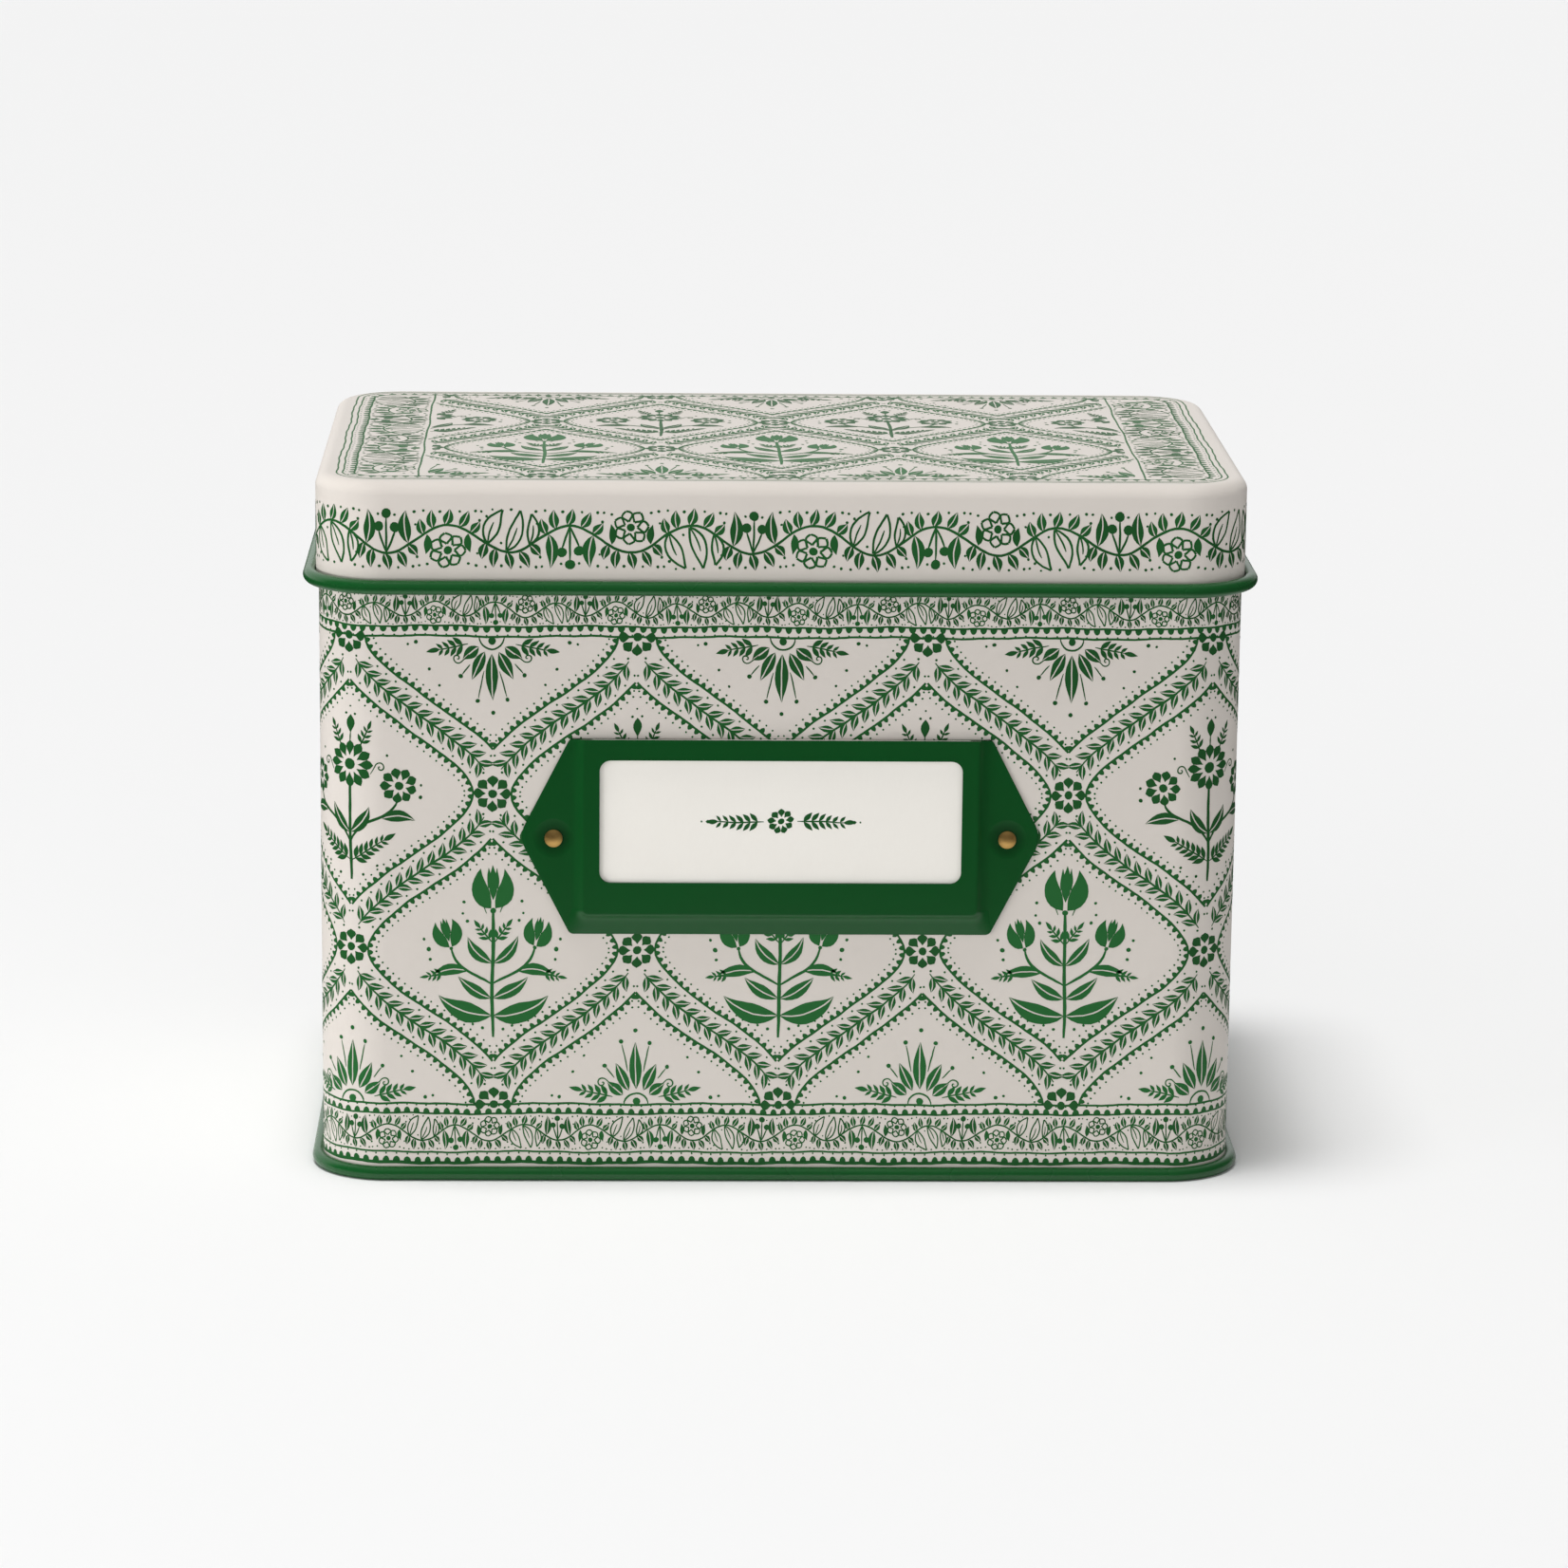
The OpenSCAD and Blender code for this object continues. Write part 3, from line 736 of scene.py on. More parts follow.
def ear_half_width(z, tip_x, root_x, normal):
    """How far the outline reaches at height z: the greatest x of the tip's circle, the root's
    circle and the straight line that touches both, where each has such a height."""
    up = np.abs(z - HOLDER_H / 2)
    tip = tip_x + np.sqrt(np.clip(EAR_TIP_R ** 2 - up ** 2, 0, None))
    root_up = HOLDER_H / 2 - EAR_ROOT_R
    root = root_x + np.sqrt(np.clip(EAR_ROOT_R ** 2 - (up - root_up) ** 2, 0, None))
    tip_touch, root_touch = EAR_TIP_R * normal[1], root_up + EAR_ROOT_R * normal[1]
    straight = tip_x + (EAR_TIP_R - up * normal[1]) / normal[0]
    return np.where(up <= tip_touch, tip, np.where(up <= root_touch, straight, root))


# %% The holder's outline
tip_x = EAR_TIP - EAR_TIP_R
root_x = FRAME_HALF + SLOPE
to_tip = np.array([tip_x - root_x, HOLDER_H / 2 - (HOLDER_H - EAR_ROOT_R)])
touch_angle = math.atan2(to_tip[1], to_tip[0]) + math.acos((EAR_ROOT_R - EAR_TIP_R) / np.linalg.norm(to_tip))
ear_normal = (math.cos(touch_angle), math.sin(touch_angle))


def holder_outline():
    """The outermost U: the ears as a function of height, then round the root to the foot."""
    root_start = EAR_ROOT_R * (1 - ear_normal[1])
    z = HOLDER_H + (root_start - HOLDER_H) * eased
    right = np.stack([ear_half_width(z, tip_x, root_x, ear_normal), z], -1)
    bend = arc((root_x, EAR_ROOT_R), EAR_ROOT_R, -math.degrees(touch_angle), -90, CORNER_STEPS + 2)[1:-1]
    low = line((root_x, 0), (0, 0), FOOT_STEPS // 2 + 1)
    half_u = np.concatenate([right, bend, low])
    return np.concatenate([half_u, (half_u[:-1] * [-1, 1])[::-1]])


outline = holder_outline()
print("outline:", len(outline), "points, widest", outline[:, 0].max().round(2))


# %% The holder's relief
BEND_HIGH, BEND_LOW, FOOT_TILT, FRAME_R = 0.7, 2.2, 8, 0.9


def slope_profile(tilt):
    """Outwards from the frame's flat face: a tight bend, a short slope and an easy bend to a level
    that falls by tilt degrees and ends at the sheet's thickness. The bends are arcs, which turn by
    the slope's angle and by that angle less tilt. Columns: distance and height."""
    angle, end = math.atan2(RISE, SLOPE), math.radians(tilt)
    over = arc((-BEND_HIGH * math.tan(angle / 2), RISE - BEND_HIGH), BEND_HIGH, 90, 90 - math.degrees(angle), 7)
    edge = FOOT + SLOPE
    meet = (RISE - HOLDER_T - edge * math.tan(end)) / (math.tan(angle) - math.tan(end))
    reach = BEND_LOW * math.tan((angle - end) / 2)
    middle = (meet + reach * math.cos(end) + BEND_LOW * math.sin(end),
              RISE - meet * math.tan(angle) - reach * math.sin(end) + BEND_LOW * math.cos(end))
    under = arc(middle, BEND_LOW, 270 - math.degrees(angle), 270 - tilt, 12)
    return joined(over, under)


relief, foot_relief = slope_profile(0), slope_profile(FOOT_TILT)
first_u = u_line(FRAME_HALF, FOOT + SLOPE, HOLDER_H, FRAME_R)
along_u = np.gradient(first_u, axis=0)
downwards = np.clip(np.abs(along_u[:, 0]) / np.linalg.norm(along_u, axis=1), 0, 1)
u_rings = []
for out, height in relief:
    ring = u_line(FRAME_HALF + out, FOOT + SLOPE - out, HOLDER_H, FRAME_R + out)
    foot_height = np.interp(out, foot_relief[:, 0], foot_relief[:, 1])
    if out > foot_relief[-1, 0]:
        foot_height = HOLDER_T + (FOOT + SLOPE - out) * math.tan(math.radians(FOOT_TILT))
    u_rings.append(np.column_stack([ring, height + (foot_height - height) * downwards]))
level = u_rings[-1]
for share in (0.3, 0.65, 0.94, 1.0):
    flat = level[:, :2] * (1 - share) + outline * share
    u_rings.append(np.column_stack([flat, HOLDER_T + (level[:, 2] - HOLDER_T) * (1 - share)]))
strip = np.stack(u_rings, 1)

window_u = u_line(WINDOW_HALF, WINDOW_FOOT, WINDOW_TOP - WINDOW_R, WINDOW_R)
window_top = np.concatenate([
    arc((-WINDOW_HALF + WINDOW_R, WINDOW_TOP - WINDOW_R), WINDOW_R, 180, 90, CORNER_STEPS)[1:],
    line((-WINDOW_HALF + WINDOW_R, WINDOW_TOP), (WINDOW_HALF - WINDOW_R, WINDOW_TOP), FOOT_STEPS)[1:-1],
    arc((WINDOW_HALF - WINDOW_R, WINDOW_TOP - WINDOW_R), WINDOW_R, 90, 0, CORNER_STEPS)[:-1]])
window = np.concatenate([window_u, window_top])
frame_top = window_top * [(FRAME_HALF + relief[0, 0]) / WINDOW_HALF, 0] + [0, HOLDER_H]
frame_edge = np.concatenate([u_rings[0][:, :2], frame_top])
plane = np.stack([window + (frame_edge - window) * s for s in (0, 0.04, 0.5, 0.96, 1)], 1)
plane = np.concatenate([plane, np.full((*plane.shape[:2], 1), RISE)], 2)

# %% The holder as a piece
EDGE_ROUND = 0.09


def on_front(grid):
    """From the holder's own x, height and rise to the tin's frame: the rise points towards -Y."""
    return np.stack([grid[..., 0], -BODY_D / 2 - SEAT_GAP - grid[..., 2], grid[..., 1] + HOLDER_Z], -1)


strip_faces = grid_faces(*strip.shape[:2])
plane_faces = grid_faces(*plane.shape[:2], wrap_rows=True) + strip.shape[0] * strip.shape[1]
holder_points = np.concatenate([on_front(strip).reshape(-1, 3), on_front(plane).reshape(-1, 3)])
label_frame = mesh_object("label_frame", holder_points, np.concatenate([strip_faces, plane_faces]),
                          [holder_green])
recalculated(label_frame)
if sum(p.normal.y * p.area for p in label_frame.data.polygons) > 0:
    label_frame.data.flip_normals()
thick = label_frame.modifiers.new("thickness", "SOLIDIFY")
thick.thickness = HOLDER_T * MM
thick.offset = -1
thick.use_even_offset = True
rounding = label_frame.modifiers.new("edge", "BEVEL")
rounding.width = EDGE_ROUND * MM
rounding.segments = 2
rounding.limit_method = "ANGLE"
rounding.angle_limit = math.radians(55)
finished(label_frame)
sharpened(label_frame, 50)
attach(label_frame, "tin")
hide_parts("label_holder")
print("holder:", len(label_frame.data.polygons), "faces")

# %% [markdown]
# ## Rivets and hinge
#
# Rivets and the wire are turned shapes: a profile swept round an axis. The hinge's straps are
# strips that run up the wall and round the wire; a strip is a grid of its length by its width.


# %% Turned pieces
def turned(name, profile, centre, axis, steps, material):
    """A profile of (radius, height) points swept round an axis through centre. Its first and last
    radius are 0, so the ends close: point = centre + height axis + radius (cos a across + sin a up)."""
    axis = np.array(axis, float)
    across = np.array([0, 0, 1.0]) if abs(axis[2]) < 0.5 else np.array([1.0, 0, 0])
    up = np.cross(axis, across)
    a = np.linspace(0, 2 * np.pi, steps, endpoint=False)
    round_part = np.cos(a)[:, None] * across + np.sin(a)[:, None] * up
    grid = np.array(centre) + profile[None, :, 1:] * axis + profile[None, :, :1] * round_part[:, None, :]
    faces = grid_faces(steps, len(profile), wrap_rows=True)
    return recalculated(mesh_object(name, grid, faces, [material]))


HEAD_R, HEAD_H, HEAD_SIDE, HEAD_BEVEL = 1.6, 0.9, 0.25, 0.06
SHANK_R, TAIL_R, TAIL_T, TAIL_ROUND = 0.8, 1.3, 0.4, 0.15
grip = SHEET + HOLDER_T + 3 * SEAT_GAP
dome_r = (HEAD_R ** 2 + (HEAD_H - HEAD_SIDE) ** 2) / (2 * (HEAD_H - HEAD_SIDE))
dome_half = math.degrees(math.asin(HEAD_R / dome_r))
dome = arc((0, HEAD_H - dome_r), dome_r, 90 - dome_half, 90, 12)
rivet_profile = joined([(0, -grip - TAIL_T), (0.7 * TAIL_R, -grip - TAIL_T)],
                       arc((TAIL_R - TAIL_ROUND, -grip - TAIL_T + TAIL_ROUND), TAIL_ROUND, -90, 0, 4),
                       [(TAIL_R, -grip), (SHANK_R, -grip), (SHANK_R, 0)],
                       [(HEAD_R - HEAD_BEVEL, 0), (HEAD_R, HEAD_BEVEL)],
                       dome[:-1], [(0, HEAD_H)])
for side, word in ((-1, "left"), (1, "right")):
    rivet = turned(f"rivet_{word}", rivet_profile,
                   (side * RIVET_X, -BODY_D / 2 - HOLDER_T - 2 * SEAT_GAP, RIVET_Z), (0, -1, 0), 40, brass)
    sharpened(rivet, 45)
    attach(rivet, "tin")
    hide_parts(f"holder_rivet_{word}")
print("rivets: head", 2 * HEAD_R, "mm")

# %% Hinge wire
WIRE_R = (wire_high[2] - wire_low[2]) / 2
wire_half = (wire_high[0] - wire_low[0]) / 2
WIRE_ROUND = 0.2
shoulder = wire_half - WIRE_ROUND
wire_profile = joined([(0, -wire_half)], arc((WIRE_R - WIRE_ROUND, -shoulder), WIRE_ROUND, -90, 0, 5),
                      line((WIRE_R, -shoulder), (WIRE_R, shoulder), 9),
                      arc((WIRE_R - WIRE_ROUND, shoulder), WIRE_ROUND, 0, 90, 5), [(0, wire_half)])
wire = turned("wire", wire_profile, (0, HINGE_Y, HINGE_Z), (1, 0, 0), 32, steel)
sharpened(wire, 50)
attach(wire, "lid")
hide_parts("hinge_wire")
print("hinge wire", 2 * WIRE_R, "x", 2 * wire_half, "mm")


# %% Hinge straps
STRAP_LEN, STRAP_CORNER = 9.0, 2.5
KNUCKLE_R, KNUCKLE_END = 1.05, -125
JOGGLE = 1.3 * CURL
WELD_R, WELD_DEPTH, WELD_PITCH = 1.0, 0.1, 7.0
plate_in = BODY_D / 2 + SEAT_GAP + half_sheet - HINGE_Y
strap_line = joined(
    line((plate_in, -JOGGLE - STRAP_LEN), (plate_in, -JOGGLE), 46),
    line((plate_in, -JOGGLE), (-KNUCKLE_R - half_sheet, 0), 5),
    arc((0, 0), KNUCKLE_R + half_sheet, 180, KNUCKLE_END, 40),
)


def strap_half_width(up):
    """Half of the strap's width at a height over its lower end: w / 2 - r + sqrt(r^2 - (r - up)^2)
    in the rounded corners, and w / 2 above them."""
    below = np.clip(STRAP_CORNER - up, 0, None)
    return STRAP_W / 2 - STRAP_CORNER + np.sqrt(STRAP_CORNER ** 2 - below ** 2)


def weld_dimple(across, up):
    """Depth of the two spot welds: a cup whose sides fall by smoothstep over its outer third."""
    away = np.hypot(np.abs(across) - WELD_PITCH / 2, up - STRAP_LEN / 2)
    t = np.clip((WELD_R - away) * 3 / WELD_R, 0, 1)
    return WELD_DEPTH * t * t * (3 - 2 * t)


for side, word in ((-1, "left"), (1, "right")):
    along = np.concatenate([[0], np.cumsum(np.linalg.norm(np.diff(strap_line, axis=0), axis=1))])
    normal = -side_of(strap_line)
    across = np.linspace(-1, 1, 61)[None, :] * strap_half_width(along)[:, None]
    skins = []
    for half, dimple in ((half_sheet, 1), (-half_sheet, 0)):
        out = half - dimple * weld_dimple(across, along[:, None])
        skins.append(np.stack([side * STRAP_X + across,
                               HINGE_Y + strap_line[:, :1] + out * normal[:, :1],
                               HINGE_Z + strap_line[:, 1:] + out * normal[:, 1:]], -1))
    strap_grid = np.concatenate([skins[0], skins[1][:, ::-1]], 1)
    ring = strap_grid.shape[1]
    strap_faces = grid_faces(*strap_grid.shape[:2], wrap_columns=True).tolist()
    strap_faces.append(list(range(ring)))
    strap_faces.append(list(range(strap_grid.shape[0] * ring - ring, strap_grid.shape[0] * ring))[::-1])
    strap = mesh_object(f"strap_{word}", strap_grid, strap_faces, [steel])
    sharpened(recalculated(strap), 40)
    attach(strap, "tin")
    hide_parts(f"hinge_strap_{word}")
print("straps:", len(strap_faces), "faces each")

# %% [markdown]
# ## The printed pattern
#
# The pattern is a block print in one green: an ogee trellis of leafy garlands, with a tulip spray
# or a daisy spray in each opening, between two borders. It is drawn flat, in millimetres, from three
# kinds of mark: a pen line, a leaf and a dot. Each mark is a small grid of points between two edges.


# %% Marks
MARK_STEP, THIN_EDGE = 1.25, 0.03


def bezier(*knots, steps=10):
    """Points of a Bezier curve: the sum over k of C(n, k) (1 - t)^(n - k) t^k P_k, t from 0 to 1."""
    t = np.linspace(0, 1, steps)[:, None]
    n = len(knots) - 1
    return sum(math.comb(n, k) * (1 - t) ** (n - k) * t ** k * np.array(knots[k], float)
               for k in range(n + 1))


def filled(left, right):
    """A grid between two edges, in columns at most MARK_STEP wide, so that it can follow a bend."""
    width = np.linalg.norm(left - right, axis=1).max()
    share = np.linspace(0, 1, 1 + max(1, math.ceil(width / MARK_STEP)))[None, :, None]
    return left[:, None, :] * (1 - share) + right[:, None, :] * share


def pen(points, width=0.3, taper=0.5):
    """A line whose half width is w / 2 (1 - taper t^4), t from -1 to 1, so that its ends run thin."""
    t = np.linspace(-1, 1, len(points))[:, None]
    half = width / 2 * (1 - taper * t ** 4) * side_of(points)
    return filled(points + half, points - half)


def blade(base, tip, width, bend, steps, swell):
    """A leaf's axis, its half width w / 2 sin(pi t^swell), which is nowhere under THIN_EDGE, and the
    axis' normal. The axis is a Bezier curve whose middle knot is bend times the length off the
    straight line."""
    base, tip = np.array(base, float), np.array(tip, float)
    reach = tip - base
    axis = bezier(base, (base + tip) / 2 + bend * np.array([-reach[1], reach[0]]), tip, steps=steps)
    half = width / 2 * np.sin(np.pi * np.linspace(0, 1, steps) ** swell)[:, None]
    return axis, np.maximum(half, THIN_EDGE), side_of(axis)


def leaf(base, tip, width, bend=0.0, vein=0.0, steps=7, swell=0.85):
    """A solid leaf, or its two halves with a bare vein between them."""
    axis, half, normal = blade(base, tip, width, bend, steps, swell)
    left, right = axis + half * normal, axis - half * normal
    if vein == 0:
        return [filled(left, right)]
    gap = np.minimum(vein / 2, 0.6 * half) * normal
    return [filled(left, axis + gap), filled(axis - gap, right)]


def outlined(base, tip, width, bend=0.0, steps=9, swell=0.85, thick=0.28):
    """A leaf drawn as its two edges and a short vein."""
    axis, half, normal = blade(base, tip, width, bend, steps, swell)
    return [pen(axis + half * normal, thick, 0), pen(axis - half * normal, thick, 0),
            pen(axis[:-steps // 3], 0.8 * thick)]


def dot(x, y, radius, rows=3):
    """A dot as rows of width 2 r cos a at height r sin a; three rows make a hexagon."""
    a = np.radians(np.linspace(-1, 1, rows) * (90 - 90 / rows))
    half = np.stack([radius * np.cos(a), np.zeros(rows)], -1)
    middle = np.stack([np.full(rows, x), y + radius * np.sin(a)], -1)
    return filled(middle + half, middle - half)


print("leaf in", len(leaf((0, 0), (0, 5), 2, vein=0.2)), "halves")


# %% Groups of marks
def moved(shapes, x=0.0, y=0.0, turn=0.0, size=1.0, flip=1):
    """Marks mirrored if flip is -1, scaled, turned by degrees and shifted."""
    c, s = math.cos(math.radians(turn)) * size, math.sin(math.radians(turn)) * size
    matrix = np.array([[c * flip, s * flip], [-s, c]])
    return [shape @ matrix + [x, y] for shape in shapes]


def both(shapes):
    """Marks and their mirror image."""
    return shapes + moved(shapes, flip=-1)


def ray(angle, start, end):
    """Two points on a line from the origin, at distances start and end; 0 degrees points up."""
    way = np.array([math.sin(math.radians(angle)), math.cos(math.radians(angle))])
    return start * way, end * way


def daisy(radius, petals, drawn=0.0):
    """Petals on rays round a dot, solid or drawn with a line of that width. A petal is widest near
    its tip and leaves a gap to the next."""
    width = 2 * math.pi * radius / petals * (0.70 if drawn else 0.76)
    shapes = [dot(0, 0, 0.24 * radius, 5)]
    for k in range(petals):
        base, tip = ray(360 * k / petals, 0.36 * radius, radius)
        shapes += (outlined(base, tip, width, swell=1.3, steps=7, thick=drawn)[:2] if drawn
                   else leaf(base, tip, width, swell=1.4, steps=6))
    return shapes


def tulip(size):
    """A cup of two outer petals and one between them, with bare gaps, 6.7 sizes high."""
    side = leaf((-0.30, 0.25), (-1.75, 6.1), 2.5, bend=0.30, steps=10, swell=0.78)
    side += leaf((-0.72, 3.2), (-0.62, 6.3), 0.62, bend=-0.05, steps=7)
    middle = leaf((0, 1.5), (0, 6.7), 1.35, steps=9, swell=0.9)
    return moved(middle + both(side) + [dot(0, -0.1, 0.42, 5)], size=size)


def frond(length, pairs, size, taper=0.5):
    """A stem with pairs of leaves that shrink towards its tip."""
    shapes = [pen(line((0, 0), (0, length), 8), 0.28)]
    shapes += leaf((0, length - 0.2), (0, length + size), 0.42 * size)
    for k in range(pairs):
        along = (k + 0.8) / (pairs + 0.4) * length
        reach = size * (1 - taper * k / pairs)
        shapes += both(leaf((0.1, along), (0.1 + 0.72 * reach, along + 0.72 * reach), 0.42 * reach, steps=6))
    return shapes


def curl(x, y, turns, radius, turn=0.0, flip=1):
    """A tendril: a spiral whose radius shrinks by (1 - t)^0.7 as its angle grows, on a short stalk."""
    t = np.linspace(0, 1, 20)
    a = 2 * np.pi * turns * t
    r = radius * (1 - t) ** 0.7
    spiral = np.stack([radius - r * np.cos(a), r * np.sin(a)], -1)
    stalk = line((0, -2.2 * radius), (0, 0), 4)[:-1]
    return moved([pen(np.concatenate([stalk, spiral]), 0.26)], x, y, turn, 1.0, flip)


print("daisy:", len(daisy(3, 8)), "marks, frond:", len(frond(6, 4, 2)), "marks")


# %% Sprays
def tulip_spray():
    """The spray of the upright openings: three tulips over long veined leaves."""
    half = [pen(bezier((0, -6.5), (3.0, -4.5), (6.8, -3.5), (7.4, 0.6), steps=14), 0.5)]
    half += moved(tulip(0.84), 7.4, 0.5, -14)
    half += leaf((0.1, -12.2), (9.8, -8.4), 3.7, bend=-0.24, vein=0.26, steps=11)
    half += leaf((0.1, -9.0), (6.1, -5.0), 2.3, bend=-0.16, vein=0.22, steps=9)
    half += leaf((4.2, -3.9), (11.3, -4.8), 2.2, bend=0.2, vein=0.2, steps=9)
    half += leaf((0.1, -2.6), (4.4, 2.4), 2.1, bend=-0.22, vein=0.2, steps=9)
    half += moved(frond(3.6, 3, 1.7), 0.2, 1.4, -37)
    half += curl(2.0, 8.8, 1.15, 0.95, -22, -1)
    half += moved(frond(3.2, 3, 1.5), 8.6, -4.2, -100)
    half += [dot(11.4, 0.2, 0.42, 5), dot(12.2, 2.0, 0.3), dot(11.2, -1.6, 0.3), dot(4.6, 5.4, 0.34),
             dot(5.4, 6.8, 0.26), dot(1.9, -14.6, 0.3), dot(3.6, -13.9, 0.26), dot(5.2, 9.0, 0.3)]
    return [pen(line((0, -16.2), (0, 7.6), 18), 0.65, 0.35)] + moved(tulip(1.25), 0, 7.4) + both(half)


def daisy_spray():
    """The spray of the other openings: three daisies over two ferns."""
    half = [pen(bezier((0, -9.0), (2.4, -3.8), (7.6, -5.0), (8.6, -1.2), steps=14), 0.5)]
    half += moved(daisy(3.3, 9), 8.9, 1.6, 12)
    half += moved(frond(7.6, 6, 2.3), 0.1, -12.4, -58)
    half += leaf((0.1, -7.2), (3.8, -2.4), 2.2, bend=-0.22, vein=0.22, steps=9)
    half += leaf((6.0, -4.4), (11.8, -4.9), 2.2, bend=0.22, vein=0.22, steps=9)
    half += moved(frond(3.9, 3, 1.6), 1.9, 8.1, -24)
    half += curl(4.8, 5.2, 1.1, 0.9, -28)
    half += [dot(12.8, -0.6, 0.36, 5), dot(12.9, 1.6, 0.26), dot(6.8, 7.0, 0.26), dot(2.4, -14.9, 0.3),
             dot(5.2, -13.2, 0.26), dot(0, 15.6, 0.2), dot(0.9, 14.2, 0.26)]
    stem = [pen(line((0, -16.0), (0, 2.0), 16), 0.65, 0.35)]
    bud = leaf((0, 10.6), (0, 14.0), 1.7, swell=1.1) + [pen(line((0, 9.0), (0, 10.8), 3), 0.3)]
    return stem + bud + moved(daisy(4.3, 12), 0, 5.0) + both(half)


def fan():
    """The half openings along the borders: leaves on rays, with sprays at both sides."""
    half = moved(frond(5.6, 4, 2.2), 4.2, 1.4, -78)
    half += curl(5.6, 4.6, 1.1, 0.9, -48)
    for angle in (26, 52):
        half += leaf(*ray(angle, 3.0, 10.4 - angle / 14), 2.1, vein=0.22, steps=9)
    for angle in (13, 39, 65):
        base, tip = ray(angle, 6.4, 12.6 - angle / 10)
        half += [pen(line(base, tip, 6), 0.24), dot(*(tip * 1.05), 0.4, 5)]
    half += [dot(13.6, 1.2, 0.36, 5), dot(15.0, 1.5, 0.26), dot(9.4, 8.9, 0.26), dot(11.3, 6.0, 0.3)]
    middle = leaf(*ray(0, 3.0, 11.6), 2.3, vein=0.22, steps=9) + [dot(0, 13.8, 0.4, 5)]
    hub = [pen(arc((0, 0), 2.2, 0, 180, 13), 0.34), dot(0, 0.7, 0.7, 5)]
    return middle + both(half) + hub


spray_a, spray_b, border_fan = tulip_spray(), daisy_spray(), fan()
print("marks:", len(spray_a), len(spray_b), len(border_fan))


# %% Laying marks out
LAYERS = 16


class Print:
    """Marks laid out on a flat sheet, kept in groups of equal grids so that numpy can copy them.
    Each mark has a layer number, so that marks that cross don't lie in one plane."""

    def __init__(self):
        self.groups = {}

    def stamp(self, shapes, places, tone=0):
        """Copies marks to places, which are rows of x, y, turn in degrees and size."""
        x, y, turn, size = np.atleast_2d(places).astype(float).T[:, :, None, None]
        c, s = np.cos(np.radians(turn)) * size, np.sin(np.radians(turn)) * size
        for k, shape in enumerate(shapes):
            u, v = shape[None, ..., 0], shape[None, ..., 1]
            layer = np.full((len(x), *u.shape[1:]), LAYERS * tone + k % LAYERS)
            grid = np.stack([u * c - v * s + x, u * s + v * c + y, layer], -1)
            self.groups.setdefault((tone, *shape.shape[:2]), []).append(grid)

    def chosen(self, test):
        """The same sheet with only those marks whose middle passes a test of x and y."""
        part = Print()
        for key, grids in self.groups.items():
            grids = np.concatenate(grids)
            keep = test(grids[..., 0].mean((1, 2)), grids[..., 1].mean((1, 2)))
            if keep.any():
                part.groups[key] = [grids[keep]]
        return part


def spaced(points, gap, start=0.0, end=0.0):
    """Places evenly spaced along a line, about gap apart, as rows of x, y and the turn that points
    upwards along it. start and end are left free at the line's two ends."""
    along = np.concatenate([[0], np.cumsum(np.linalg.norm(np.diff(points, axis=0), axis=1))])
    count = max(2, round((along[-1] - start - end) / gap) + 1)
    s = np.linspace(start, along[-1] - end, count)
    way = np.gradient(points, axis=0)
    place = np.stack([np.interp(s, along, points[:, 0]), np.interp(s, along, points[:, 1])], -1)
    turn = np.degrees(np.arctan2(np.interp(s, along, way[:, 1]), np.interp(s, along, way[:, 0]))) - 90
    return np.concatenate([place, turn[:, None]], 1)


def rows(points, turn=0.0, size=1.0):
    """Rows for Print.stamp: points with one turn for all or a turn each."""
    points = np.atleast_2d(np.array(points, float))
    turns = points[:, 2] + turn if points.shape[1] == 3 else np.full(len(points), turn)
    return np.column_stack([points[:, :2], turns, np.full(len(points), size)])


print("print sheet ready")

# %% [markdown]
# ### The trellis
#
# One side of an opening follows x = w/4 (1 + cos(2 pi v / h)). Moved sideways by half a width and up
# by half a height, the same line bounds the next opening, so one line serves the whole trellis. The
# garland runs along it, and each opening gets its own edge at a fixed distance from it.

# %% Trellis parts
BAND = 3.3


def ogee(width, height, start=-0.5, end=0.5):
    """One side of an opening, from start to end in heights."""
    v = np.linspace(start, end, 241) * height
    return np.stack([width / 4 * (1 + np.cos(2 * np.pi * v / height)), v], -1)


def opening_edge(width, height, distance, start=-0.5):
    """The part of the side, moved inwards by a distance, that stays right of the opening's middle."""
    side = ogee(width, height, start)
    inner = side + distance * side_of(side)
    return inner[inner[:, 0] >= 0]


def garland(width, height):
    """Stem, leaf pairs and stray dots along one quarter of an opening's outline."""
    quarter = ogee(width, height, 0, 0.5)
    shapes = [pen(spaced(quarter, 1.15, 4.6, 4.6)[:, :2], 0.38)]
    pair = both(leaf((0.12, -0.2), (2.0, 1.95), 1.3, bend=0.12, vein=0.17, steps=6))
    pair += both([dot(2.35, 0.35, 0.22)])
    for x, y, turn in spaced(quarter, 2.3, 5.6, 6.2):
        shapes += moved(pair, x, y, turn)
    return shapes


def lace(edge):
    """A thin edge line with a row of teeth and a row of dots inside it."""
    shapes = [pen(spaced(edge, 1.1)[:, :2], 0.4, 0)]
    flank = np.array([[0.5, 0.1], [0.36, 0.62], [0.1, 0.9]])
    tooth = [filled(flank * [-1, 1], flank), dot(0.0, 1.5, 0.2)]
    for x, y, turn in spaced(edge, 1.45, 0.8, 0.8):
        shapes += moved(tooth, x, y, turn + 90)
    return shapes


